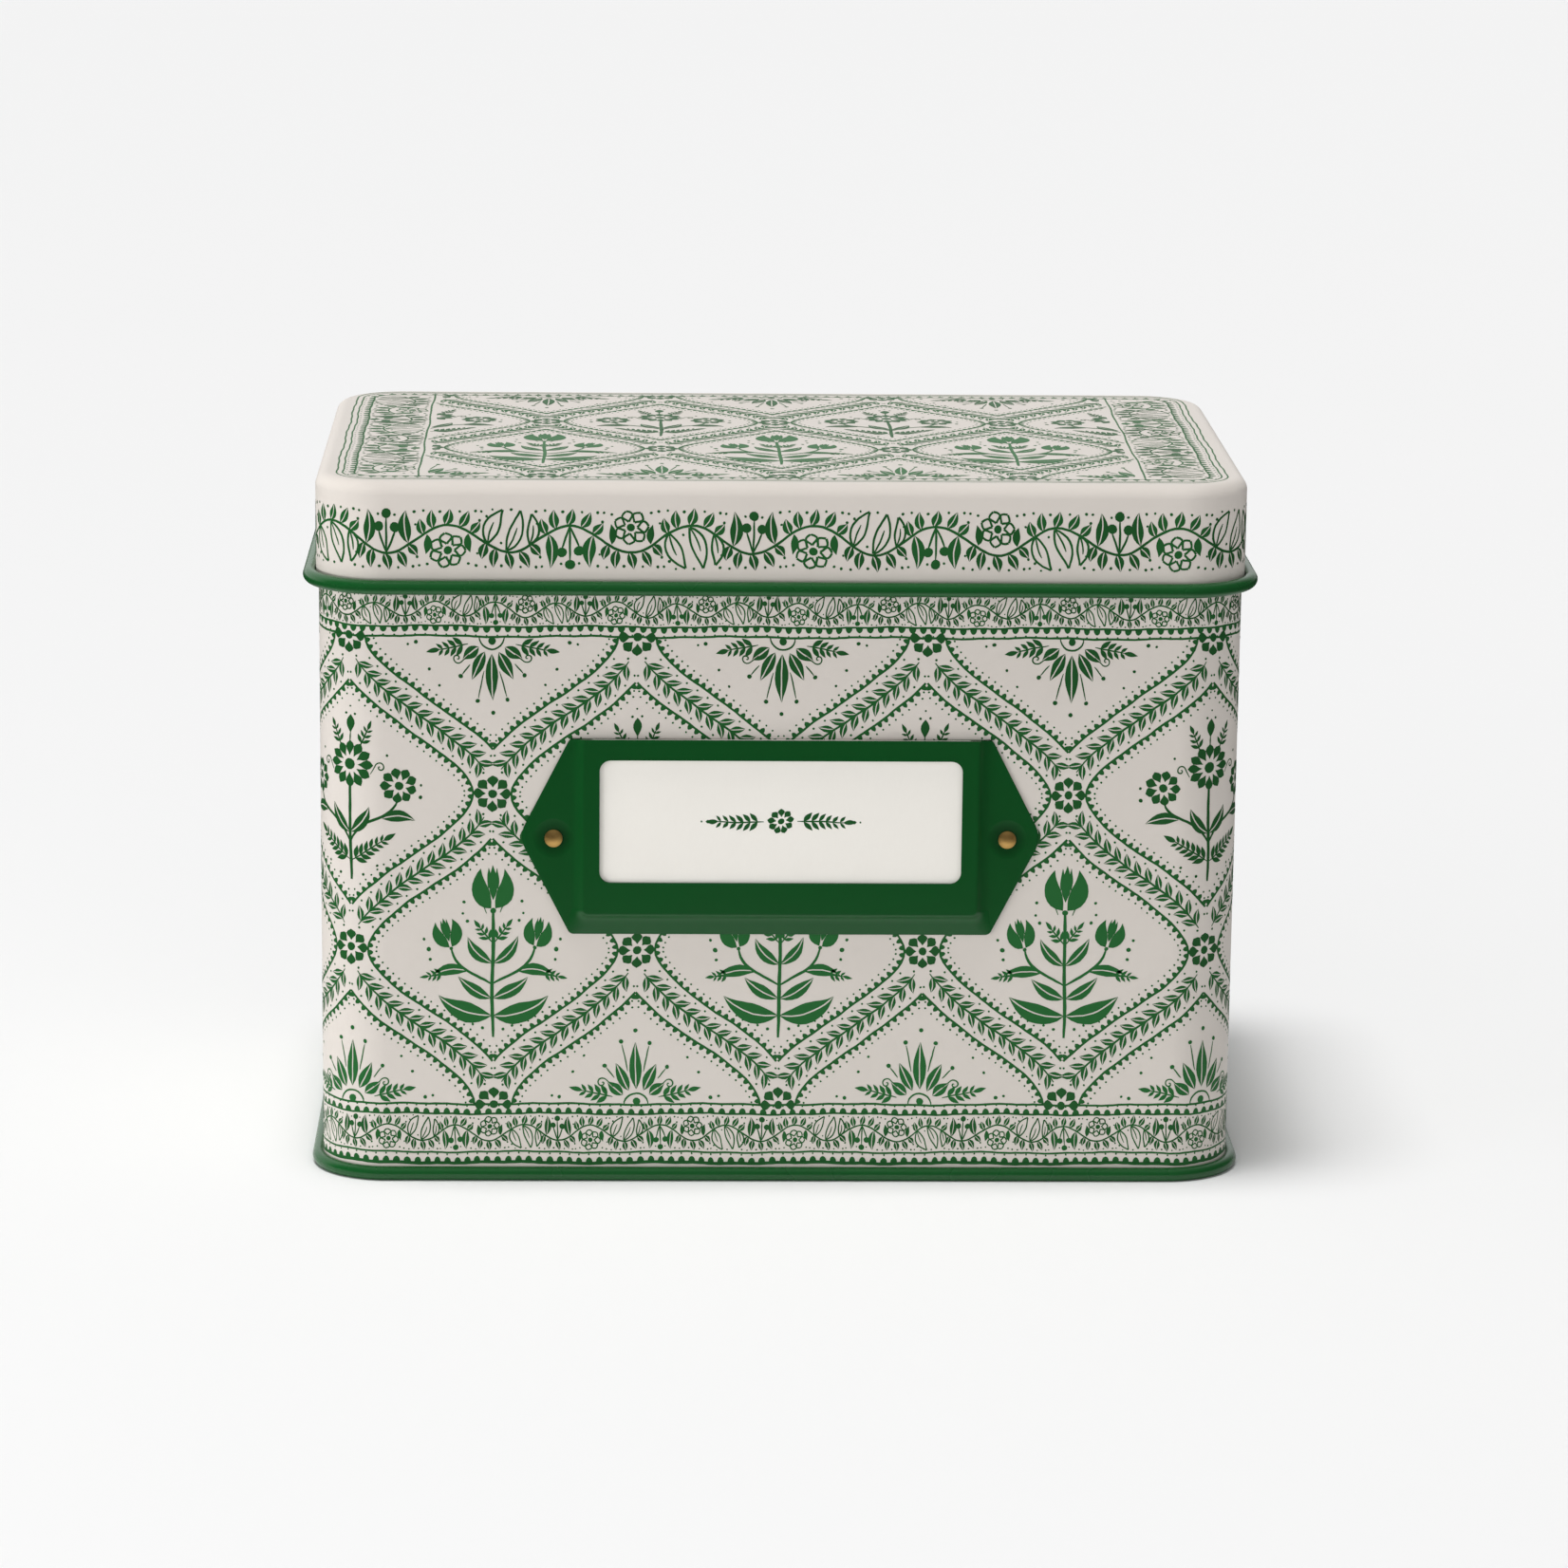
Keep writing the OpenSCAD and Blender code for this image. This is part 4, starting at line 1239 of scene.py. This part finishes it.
def trellis(sheet, width, height, columns, beside, foot):
    """Prints one and a half heights of the trellis over a foot line. A column has a tulip opening with
    a half opening over it; the columns beside it have a half opening with a daisy opening over it."""

    def put(shapes, middles, share, turn=0.0, tone=0):
        """Stamps marks at each middle, a share of the height over the foot line."""
        points = [(x, foot + share * height) for x in middles]
        sheet.stamp(shapes, rows(points, turn), tone)

    garlands = both(garland(width, height))
    edge = both(lace(opening_edge(width, height, BAND)))
    half_edge = both(lace(opening_edge(width, height, BAND, 0)))
    rosette = daisy(3.3, 8) + [dot(*ray(45 * k + 22.5, 0, 4.1)[1], 0.24) for k in range(8)]
    half_rosette = [shape for shape in rosette if shape[..., 1].mean() > -0.1]
    put(garlands, columns, 0.5)
    put(garlands, columns, 0.5, 180)
    put(garlands, columns, 1.5, 180)
    put(edge, columns, 0.5)
    put(edge, beside, 1.0)
    put(half_edge, columns, 1.5, 180)
    put(half_edge, beside, 0.0)
    put(rosette, beside, 0.5, tone=1)
    put(rosette, columns, 1.0, tone=1)
    put(half_rosette, columns, 0.0, tone=1)
    put(half_rosette, beside, 1.5, 180, tone=1)
    put(spray_a, columns, 0.5, tone=2)
    put(spray_b, beside, 1.0, tone=1)
    put(border_fan, beside, 0.0, tone=2)
    put(border_fan, columns, 1.5, 180, tone=1)


print("one quarter of a garland:", len(garland(51.3, 57.3)), "marks")

# %% [markdown]
# ### The borders
#
# The borders and the lid's skirt have a waving vine. It is made of units half a wave long, and each
# second unit is turned over.

# %% Vine
UNIT, WAVE = 10.76, 2.5


def vine_unit(kind, line_w):
    """Half a wave of the vine, y = WAVE sin(pi x / UNIT), with a daisy, drawn leaves or buds in the
    hollow under it and small leaves on its back."""
    x = np.linspace(0, UNIT, 15)
    shapes = [pen(np.stack([x, WAVE * np.sin(np.pi * x / UNIT)], -1), 1.15 * line_w, 0)]
    for base, tip in (((1.3, 0.9), (0.5, 3.7)), ((2.9, 1.9), (2.5, 5.2)), ((4.9, 2.5), (5.7, 5.5)),
                      ((7.3, 2.2), (8.9, 5.0)), ((9.2, 1.1), (11.0, 3.0))):
        shapes += leaf(base, tip, 1.75, bend=0.12 if base[0] < 4 else -0.12, vein=0.18, steps=8)
    shapes += [dot(*place) for place in (
        (4.0, 4.9, 0.3), (7.4, 5.0, 0.26), (1.1, 5.1, 0.26), (10.2, 4.9, 0.3),
        (0.2, -3.2, 0.3), (10.5, -2.7, 0.24), (0.5, -4.8, 0.26), (10.3, -4.9, 0.3))]
    if kind == 0:
        shapes += moved(daisy(3.15, 7, line_w), 5.4, -2.1, 10)
        shapes += leaf((1.9, 0.9), (1.7, -2.7), 1.4, bend=0.15, steps=8)
        shapes += leaf((8.9, 0.9), (9.3, -2.5), 1.4, bend=-0.15, steps=8)
        shapes += [dot(9.0, -4.6, 0.28), dot(1.9, -4.5, 0.28)]
    elif kind == 1:
        shapes += outlined((1.5, 1.0), (4.4, -5.1), 2.7, bend=-0.16, steps=11, thick=line_w)
        shapes += outlined((4.9, 2.2), (7.5, -4.9), 2.5, bend=0.14, steps=11, thick=line_w)
        shapes += outlined((9.2, 1.0), (9.5, -4.4), 2.0, bend=0.20, steps=9, thick=line_w)
        shapes += [dot(5.9, -5.1, 0.28), dot(1.5, -3.9, 0.3), dot(2.6, -5.2, 0.22), dot(3.9, 0.9, 0.26)]
    else:
        shapes += leaf((1.7, 1.0), (2.1, -5.1), 2.3, bend=0.16, vein=0.22, steps=9)
        shapes += leaf((9.3, 0.8), (8.9, -5.1), 2.3, bend=-0.16, vein=0.22, steps=9)
        for knot, tip in (((4.7, 0.4), (4.1, -1.5)), ((5.5, 0.0), (5.5, -3.7)), ((6.4, 0.4), (7.0, -1.3))):
            shapes += [pen(bezier((5.3, 2.4), knot, tip, steps=7), line_w), dot(tip[0], tip[1] - 0.7, 0.9, 5)]
        shapes += [dot(4.0, -4.3, 0.26), dot(7.0, -4.2, 0.26)]
    return shapes


def vine(sheet, length, units, middle, size, line_w=0.27):
    """A vine of an even number of units along a closed or open line of that length from 0."""
    step = length / units
    for kind in range(3):
        for parity in (0, 1):
            k = np.arange(units)
            k = k[(k % 3 == kind) & (k % 2 == parity)]
            shapes = vine_unit(kind, line_w / size)
            shapes = [shape * [step / UNIT / size, 1 - 2 * parity] for shape in shapes]
            sheet.stamp(shapes, rows(np.stack([k * step, np.full(len(k), middle)], -1), 0, size), parity)


def long_line(sheet, length, y, width, pieces=20):
    """A line along the whole sheet, in pieces that can bend round the corners."""
    step = length / pieces
    piece = [pen(line((-0.05, 0), (step + 0.05, 0), 26), width, 0)]
    sheet.stamp(piece, rows([(k * step, y) for k in range(pieces)]))


def teeth(sheet, length, y, count, flip=1):
    """A row of half-round teeth that stand on a line, each with a dot over it; flip -1 turns the
    row over."""
    a = np.radians([0, 28, 56, 80])
    flank = np.stack([0.62 * np.cos(a), 0.95 * np.sin(a)], -1)
    tooth = filled(flank * [-1, 1], flank)
    places = [((k + 0.5) * length / count, y) for k in range(count)]
    sheet.stamp([tooth, dot(0, 1.45, 0.18)], rows(places, 90 - 90 * flip))


print("vine units:", [len(vine_unit(kind, 0.27)) for kind in range(3)], "marks")

# %% [markdown]
# ### From the flat sheet to the tin
#
# Positions along the sheet are lengths round the tin from the middle of its front. Along a rounded
# rectangle both the corner's centre c(u) and the heading a(u) change in straight steps, so a point
# at length u is c(u) + r (cos a(u), sin a(u)). A slight wave in both directions stands for the block
# cutter's hand.


# %% Wrapping
class Round:
    """A rounded rectangle by its length u, anticlockwise from the middle of its front."""

    def __init__(self, width, depth, corner):
        x, y, quarter = width / 2 - corner, depth / 2 - corner, math.pi * corner / 2
        runs = [x, quarter, 2 * y, quarter, 2 * x, quarter, 2 * y, quarter, x]
        self.knots = np.concatenate([[0], np.cumsum(runs)])
        self.centres = np.array([(0, -y), (x, -y), (x, -y), (x, y), (x, y),
                                 (-x, y), (-x, y), (-x, -y), (-x, -y), (0, -y)])
        self.headings = np.radians([-90, -90, 0, 0, 90, 90, 180, 180, 270, 270])
        self.corner = corner
        self.length = self.knots[-1]

    def point(self, u, out):
        """The point at length u and a distance out of the line."""
        u = np.mod(u, self.length)
        a = np.interp(u, self.knots, self.headings)
        reach = self.corner + out
        return (np.interp(u, self.knots, self.centres[:, 0]) + reach * np.cos(a),
                np.interp(u, self.knots, self.centres[:, 1]) + reach * np.sin(a))

    def upright(self, u, v, height):
        """Wraps a sheet round: v is the height over the table."""
        x, y = self.point(u, height)
        return np.stack([x, y, np.broadcast_to(v, x.shape)], -1)

    def lying(self, u, v, height):
        """Lays a strip round on the lid's top: v is the distance out of the line."""
        x, y = self.point(u, v)
        return np.stack([x, y, np.broadcast_to(TIN_H + height, x.shape)], -1)


def on_top(u, v, height):
    """Lays a sheet on the lid's top."""
    return np.stack([u, v, np.broadcast_to(TIN_H + height, u.shape)], -1)


body_round = Round(BODY_W, BODY_D, CORNER)
skirt_round = Round(BODY_W + 2 * (LID_GAP + SHEET), BODY_D + 2 * (LID_GAP + SHEET), CORNER + LID_GAP + SHEET)
print(f"lengths round: body {body_round.length:.1f}, skirt {skirt_round.length:.1f} mm")


# %% Ink
INK_TOP, INK_FOOT, LAYER_STEP = 0.016, -0.05, 0.0004
FLAT_LENGTH = 400.0


def hand(u, v, length):
    """Small waves, whole numbers of them in the length, that move a mark by up to a fifth of a mm."""
    a = 2 * np.pi * u / length
    du = (0.13 * np.sin(23 * a + v / 5.1) + 0.06 * np.sin(61 * a - v / 2.3 + 1.7)
          + 0.025 * np.sin(239 * a + v / 0.5))
    dv = (0.13 * np.sin(19 * a - v / 6.3 + 0.6) + 0.06 * np.sin(67 * a + v / 2.1)
          + 0.025 * np.sin(233 * a - v / 0.6))
    return u + du, v + dv


def ink_solids(grids, wrap, length):
    """Thin closed solids from flat grids: the grid itself on top and one keel line under its
    middle. Grids whose area comes out negative are turned over first."""
    rows_of, columns = grids.shape[1:3]
    d_row, d_column = grids[:, 1:, :-1] - grids[:, :-1, :-1], grids[:, :-1, 1:] - grids[:, :-1, :-1]
    area = (d_row[..., 1] * d_column[..., 0] - d_row[..., 0] * d_column[..., 1]).sum((1, 2))
    grids = np.where((area < 0)[:, None, None, None], grids[:, :, ::-1], grids)
    u, v = hand(grids[..., 0], grids[..., 1], length)
    top = wrap(u, v, INK_TOP + LAYER_STEP * grids[..., 2])
    keel = wrap(u.mean(2), v.mean(2), INK_FOOT)
    points = np.concatenate([top, keel[:, :, None, :]], 2)
    quads = grid_faces(rows_of, columns + 1, wrap_columns=True)[:, ::-1]
    first = np.arange(columns + 1)
    ends = np.stack([first, first[::-1] + (rows_of - 1) * (columns + 1)])
    shift = np.arange(len(grids))[:, None, None] * rows_of * (columns + 1)
    quads, ends = (quads[None] + shift).reshape(-1, 4), (ends[None] + shift).reshape(-1, columns + 1)
    return points.reshape(-1, 3), quads, ends


def ink_piece(name, body, length, *parts):
    """One mesh from several pairs of a print and the function that wraps it. The waves of `hand` fit
    in the length: the way round the tin, or FLAT_LENGTH on a flat piece."""
    points, corners, sizes, tones, count = [], [], [], [], 0
    for sheet, wrap in parts:
        for (tone, _, _), grids in sheet.groups.items():
            solid, *face_sets = ink_solids(np.concatenate(grids), wrap, length)
            for faces in face_sets:
                corners.append((faces + count).ravel())
                sizes.append(np.full(len(faces), faces.shape[1]))
                tones.append(np.full(len(faces), tone))
            points.append(solid)
            count += len(solid)
    points, corners, sizes, tones = (np.concatenate(p) for p in (points, corners, sizes, tones))
    mesh = bpy.data.meshes.new(name)
    mesh.vertices.add(len(points))
    mesh.vertices.foreach_set("co", (points * MM).ravel())
    mesh.loops.add(len(corners))
    mesh.loops.foreach_set("vertex_index", corners.astype(np.int32))
    mesh.polygons.add(len(sizes))
    mesh.polygons.foreach_set("loop_start", np.concatenate([[0], np.cumsum(sizes)[:-1]]).astype(np.int32))
    for ink in inks:
        mesh.materials.append(ink)
    mesh.polygons.foreach_set("material_index", tones.astype(np.int32))
    mesh.update(calc_edges=True)
    mesh.polygons.foreach_set("use_smooth", np.ones(len(sizes), bool))
    piece = bpy.data.objects.new(name, mesh)
    bpy.context.scene.collection.objects.link(piece)
    sharpened(piece, 30)
    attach(piece, body)
    print(name, "has", int((sizes - 2).sum()), "triangles")
    return piece


def ink(name, colour):
    """A plain satin ink."""
    return Finish(name).set(Base_Color=(*colour, 1), Roughness=0.5, Specular_IOR_Level=0.25).material


inks = [ink("ink_leaf", linear(24, 90, 37)), ink("ink_deep", linear(20, 82, 32)),
        ink("ink_fresh", linear(28, 98, 43))]
print("three tones of one green")

# %% Print on the body
COLUMNS, FIELD_FOOT, FIELD_TOP, TEETH = 10, 14.0, 100.0, 280
body_print = Print()
column_w = body_round.length / COLUMNS
middles = np.arange(COLUMNS) * column_w
trellis(body_print, column_w, (FIELD_TOP - FIELD_FOOT) / 1.5, middles, middles + column_w / 2, FIELD_FOOT)
for y, width in ((3.0, 0.6), (5.0, 0.36), (12.2, 0.36), (14.0, 0.4),
                 (100.0, 0.4), (101.8, 0.36), (107.9, 0.36), (109.7, 0.5)):
    long_line(body_print, body_round.length, y, width)
for y, flip in ((3.2, 1), (12.3, 1), (101.7, -1), (108.0, 1)):
    teeth(body_print, body_round.length, y, TEETH, flip)
vine(body_print, body_round.length, units=84, middle=8.6, size=0.60, line_w=0.25)
vine(body_print, body_round.length, units=96, middle=104.85, size=0.52, line_w=0.24)

bounds_u = body_round.knots[[1, 3, 5, 7]] + math.pi * CORNER / 4
for k, word in enumerate(("front", "right", "back", "left")):
    low, high = bounds_u[k - 1] % body_round.length, bounds_u[k]

    def on_face(x, y, low=low, high=high):
        """Whether x lies between this face's two bounds, counted on round the tin."""
        return np.mod(x - low, body_round.length) < np.mod(high - low, body_round.length)

    ink_piece(f"print_{word}", "tin", body_round.length, (body_print.chosen(on_face), body_round.upright))

# %% Print on the lid
skirt_print = Print()
vine(skirt_print, skirt_round.length, units=48, middle=117.6, size=1.0, line_w=0.4)
ink_piece("print_skirt", "lid", skirt_round.length, (skirt_print, skirt_round.upright))

# %% Print on the lid's top
TOP_W, TOP_D = 128.0, 89.0
top_print = Print()
top_column = TOP_W / 3
trellis(top_print, top_column, TOP_D / 1.5, np.array([-1, 0, 1]) * top_column,
        np.array([-1.5, -0.5, 0.5, 1.5]) * top_column, -TOP_D / 2)
inner = top_print.chosen(lambda x, y: np.abs(x) < TOP_W / 2 - 0.9)
for side in (-1, 1):
    end_line = pen(line((0, -TOP_D / 2 - 0.4), (0, TOP_D / 2 + 0.4), 60), 0.34, 0)
    inner.stamp([end_line], rows((side * (TOP_W / 2 + 0.5), 0)), 0)

frame_round = Round(152.0, TOP_D + 0.8, 4.0)
frame_print = Print()
for out, width in ((0.0, 0.34), (2.1, 0.30), (3.2, 0.30)):
    long_line(frame_print, frame_round.length, out, width, 24)
teeth(frame_print, frame_round.length, 0.1, 240)

BAND_LENGTH, BAND_X = 85.0, 70.3
band_print = Print()
vine(band_print, BAND_LENGTH, units=8, middle=0.0, size=1.0, line_w=0.3)


def on_left_band(u, v, height):
    """Lays the vine upright at the left end: the sheet turned by 90 degrees."""
    return on_top(-BAND_X - v, u - BAND_LENGTH / 2, height)


def on_right_band(u, v, height):
    """Lays it at the right end, turned by -90 degrees."""
    return on_top(BAND_X + v, BAND_LENGTH / 2 - u, height)


ink_piece("print_top", "lid", frame_round.length, (inner, on_top), (frame_print, frame_round.lying),
          (band_print, on_left_band), (band_print, on_right_band))

# %% Ornament on the label
LABEL_MIDDLE_Z = HOLDER_Z + WINDOW_FOOT + (WINDOW_TOP - WINDOW_FOOT) / 2
label_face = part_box("label_card")[0][1] / MM


def on_label(u, v, height):
    """Lays a sheet on the label's front."""
    return np.stack([u, np.full(u.shape, label_face) - height, v + LABEL_MIDDLE_Z], -1)


ornament = Print()
arm = moved(frond(8.6, 6, 2.1, 0.45), 2.9, 0, -90) + [dot(13.2, 0, 0.32, 5), dot(14.3, 0, 0.2)]
ornament.stamp(moved(daisy(2.3, 9), 0, 0) + both(arm), rows((0, 0)), 1)
ink_piece("print_label", "label", FLAT_LENGTH, (ornament, on_label))

# %% [markdown]
# ## Label, dividers and cards
#
# These stay as the CAD model has them: flat sheets. They only need their paper, and the dividers a
# printed line and a small sprig on each tab.

# %% Paper pieces
for name, node in frame["nodes"].items():
    kinds = {"label_card": label_paper, "divider": board, "recipe_card": card_paper}
    for start, material in kinds.items():
        if name.startswith(start):
            node.data.materials.clear()
            node.data.materials.append(material)
print("papers given")

# %% Print on the dividers
CARD_W, CARD_H, TAB_W, TAB_H, TAB_MARGIN, LEAN = 152.4, 101.6, 36.0, 10.0, 4.0, 10.0
DIVIDERS, TABS, DIVIDER_T = 12, 4, 0.45
lean_up = np.array([0, math.sin(math.radians(LEAN)), math.cos(math.radians(LEAN))])
lean_out = np.array([0, -lean_up[2], lean_up[1]])
tab_pitch = (CARD_W - 2 * TAB_MARGIN - TAB_W) / (TABS - 1)
for k in range(DIVIDERS):
    low, high = (np.array(corner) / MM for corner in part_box(f"divider_{k + 1:02d}"))
    foot = np.array([0, low[1], low[2] + DIVIDER_T * lean_out[2]])

    def on_divider(u, v, height, foot=foot):
        """Lays a sheet on the leaning front of a divider: foot + u x + v up + height out."""
        return foot + u[..., None] * [1, 0, 0] + v[..., None] * lean_up + (0 * u + height)[..., None] * lean_out

    tab_x = -CARD_W / 2 + TAB_MARGIN + TAB_W / 2 + (k % TABS) * tab_pitch
    mark = both(moved(frond(4.6, 4, 1.7), 1.6, 0, -90)) + daisy(1.5, 7)
    frame_line = [pen(line((-CARD_W / 2 + 3, 0), (CARD_W / 2 - 3, 0), 30), 0.3, 0)]
    tab_print = Print()
    tab_print.stamp(mark, rows((tab_x, CARD_H + TAB_H / 2)), k % len(inks))
    tab_print.stamp(frame_line, rows([(0, CARD_H - 3.0), (0, CARD_H - 4.0)]), 0)
    ink_piece(f"print_divider_{k + 1:02d}", f"section_{k + 1:02d}", FLAT_LENGTH, (tab_print, on_divider))

# %% [markdown]
# ## The studio
#
# The tin stands on a seamless pale floor. A broad light from overhead, a little to the left, gives
# the top its brightness and leaves a soft shadow on the right. A far and very wide light lifts the
# front, a soft box lifts its left end, and an even dome fills the rest. The floor carries a painted
# reflection: from a distance on it looks dark, but only in reflections, as if black flags stood round
# the table just out of the picture.

# %% Floor
FLOOR_SIZE = 40.0
FLOOR_TONE, PAINTED_REFLECTION_TONE = 0.865, 0.03
PAINTED_REFLECTION_NEAR, PAINTED_REFLECTION_FAR = 0.13, 0.24
floor_points = np.array([[-1, -1, 0], [1, -1, 0], [1, 1, 0], [-1, 1, 0]]) * FLOOR_SIZE / 2 / MM
floor_finish = Finish("studio_floor")
floor_finish.set(Base_Color=(FLOOR_TONE, FLOOR_TONE, FLOOR_TONE, 1), Roughness=1.0, Specular_IOR_Level=0.0)
away = floor_finish.node("ShaderNodeVectorMath", {"operation": "LENGTH"}, {0: floor_finish.place()},
                         output="Value")
# Painted reflection: seen in reflections, the floor turns to a dark tone between the two distances from the
# middle.
far = ((away - PAINTED_REFLECTION_NEAR) * (1 / (PAINTED_REFLECTION_FAR - PAINTED_REFLECTION_NEAR))).clamped(0, 1)
mirrored = floor_finish.node("ShaderNodeLightPath", {}, {}, output="Is Glossy Ray")
dark = floor_finish.node("ShaderNodeBsdfDiffuse", {}, {"Color": (PAINTED_REFLECTION_TONE, PAINTED_REFLECTION_TONE, PAINTED_REFLECTION_TONE, 1)})
plain = Wire(floor_finish, floor_finish.shader.outputs[0])
mixed = floor_finish.node("ShaderNodeMixShader", {}, {0: far * mirrored, 1: plain, 2: dark})
floor_finish.feed(floor_finish.tree.nodes["Material Output"].inputs["Surface"], mixed)
floor = mesh_object("floor", floor_points, [[0, 1, 2, 3]], [floor_finish.material], smooth=False)
print("floor ready")

# %% [markdown]
# Reflections don't see the lamps. They see a world of their own: dark at the sides, brighter
# overhead, and with a bright wall behind the tin that fades out towards the right. `right`, `behind`
# and `above` are the parts of a direction of length 1, and what shows in a reflection from there is
# DARK_SIDE + OVERHEAD above^4 + BACKDROP wall.

# %% Light
DOME = 0.272
DARK_SIDE, OVERHEAD, BACKDROP = 0.08, 0.50, 0.84
SUN, SUN_WIDTH = 2.30, 16
FRONT, FRONT_WIDTH = 0.34, 60
LEFT, LEFT_W, LEFT_H = 4.1, 0.7, 0.12
TOWARDS_SUNS = Vector((-0.05, -0.05, 0.99)), Vector((-0.19, -0.05, 0.98))
TOWARDS_FRONT, TOWARDS_LEFT = Vector((0.0, -0.92, 0.39)), Vector((-0.85, -0.45, 0.02))
AIM = Vector((0, 0, 0.06))
world = bpy.data.worlds.new("studio")
world.use_nodes = True
bpy.context.scene.world = world
sky = Graph(world.node_tree)
towards = sky.node("ShaderNodeTexCoord", {}, {}, output="Generated")
right, behind, above = (sky.node("ShaderNodeSeparateXYZ", {}, {0: towards}, output=axis) for axis in "XYZ")
high = above * above
wall = (3.0 * behind).clamped(0, 1) * (1.5 - 2.0 * right).clamped(0, 1)
mirrored = sky.node("ShaderNodeLightPath", {}, {}, output="Is Glossy Ray")
in_mirror = DARK_SIDE + OVERHEAD * (high * high) + BACKDROP * wall
sky.tree.nodes["Background"].inputs["Color"].default_value = (1, 1, 1, 1)
sky.feed(sky.tree.nodes["Background"].inputs["Strength"], DOME + mirrored * (in_mirror - DOME))


def lamp(name, kind, towards, energy):
    """A lamp whose light comes from a direction; for a soft box that vector is also its place."""
    made = bpy.data.objects.new(name, bpy.data.lights.new(name, kind))
    made.data.energy = energy
    made.rotation_mode = "QUATERNION"
    made.rotation_quaternion = towards.to_track_quat("Z", "Y")
    made.location = AIM + towards
    bpy.context.scene.collection.objects.link(made)
    return made


def soft_box(name, towards, width, height, energy):
    """A rectangular lamp of that width and height in metres."""
    made = lamp(name, "AREA", towards, energy)
    made.data.shape = "RECTANGLE"
    made.data.size, made.data.size_y = width, height
    return made


def sun(name, towards, energy, width):
    """A far lamp that shows width degrees across."""
    made = lamp(name, "SUN", towards, energy)
    made.data.angle = math.radians(width)
    return made


lamps = [sun(f"overhead_{k}", towards, SUN / 2, SUN_WIDTH) for k, towards in enumerate(TOWARDS_SUNS, 1)]
lamps.append(sun("front_light", TOWARDS_FRONT, FRONT, FRONT_WIDTH))
lamps.append(soft_box("left_box", TOWARDS_LEFT, LEFT_W, LEFT_H, LEFT))
for made in lamps:
    made.visible_glossy = False
bpy.context.scene.view_settings.view_transform = "Standard"
print("dome", DOME, "sun", SUN)
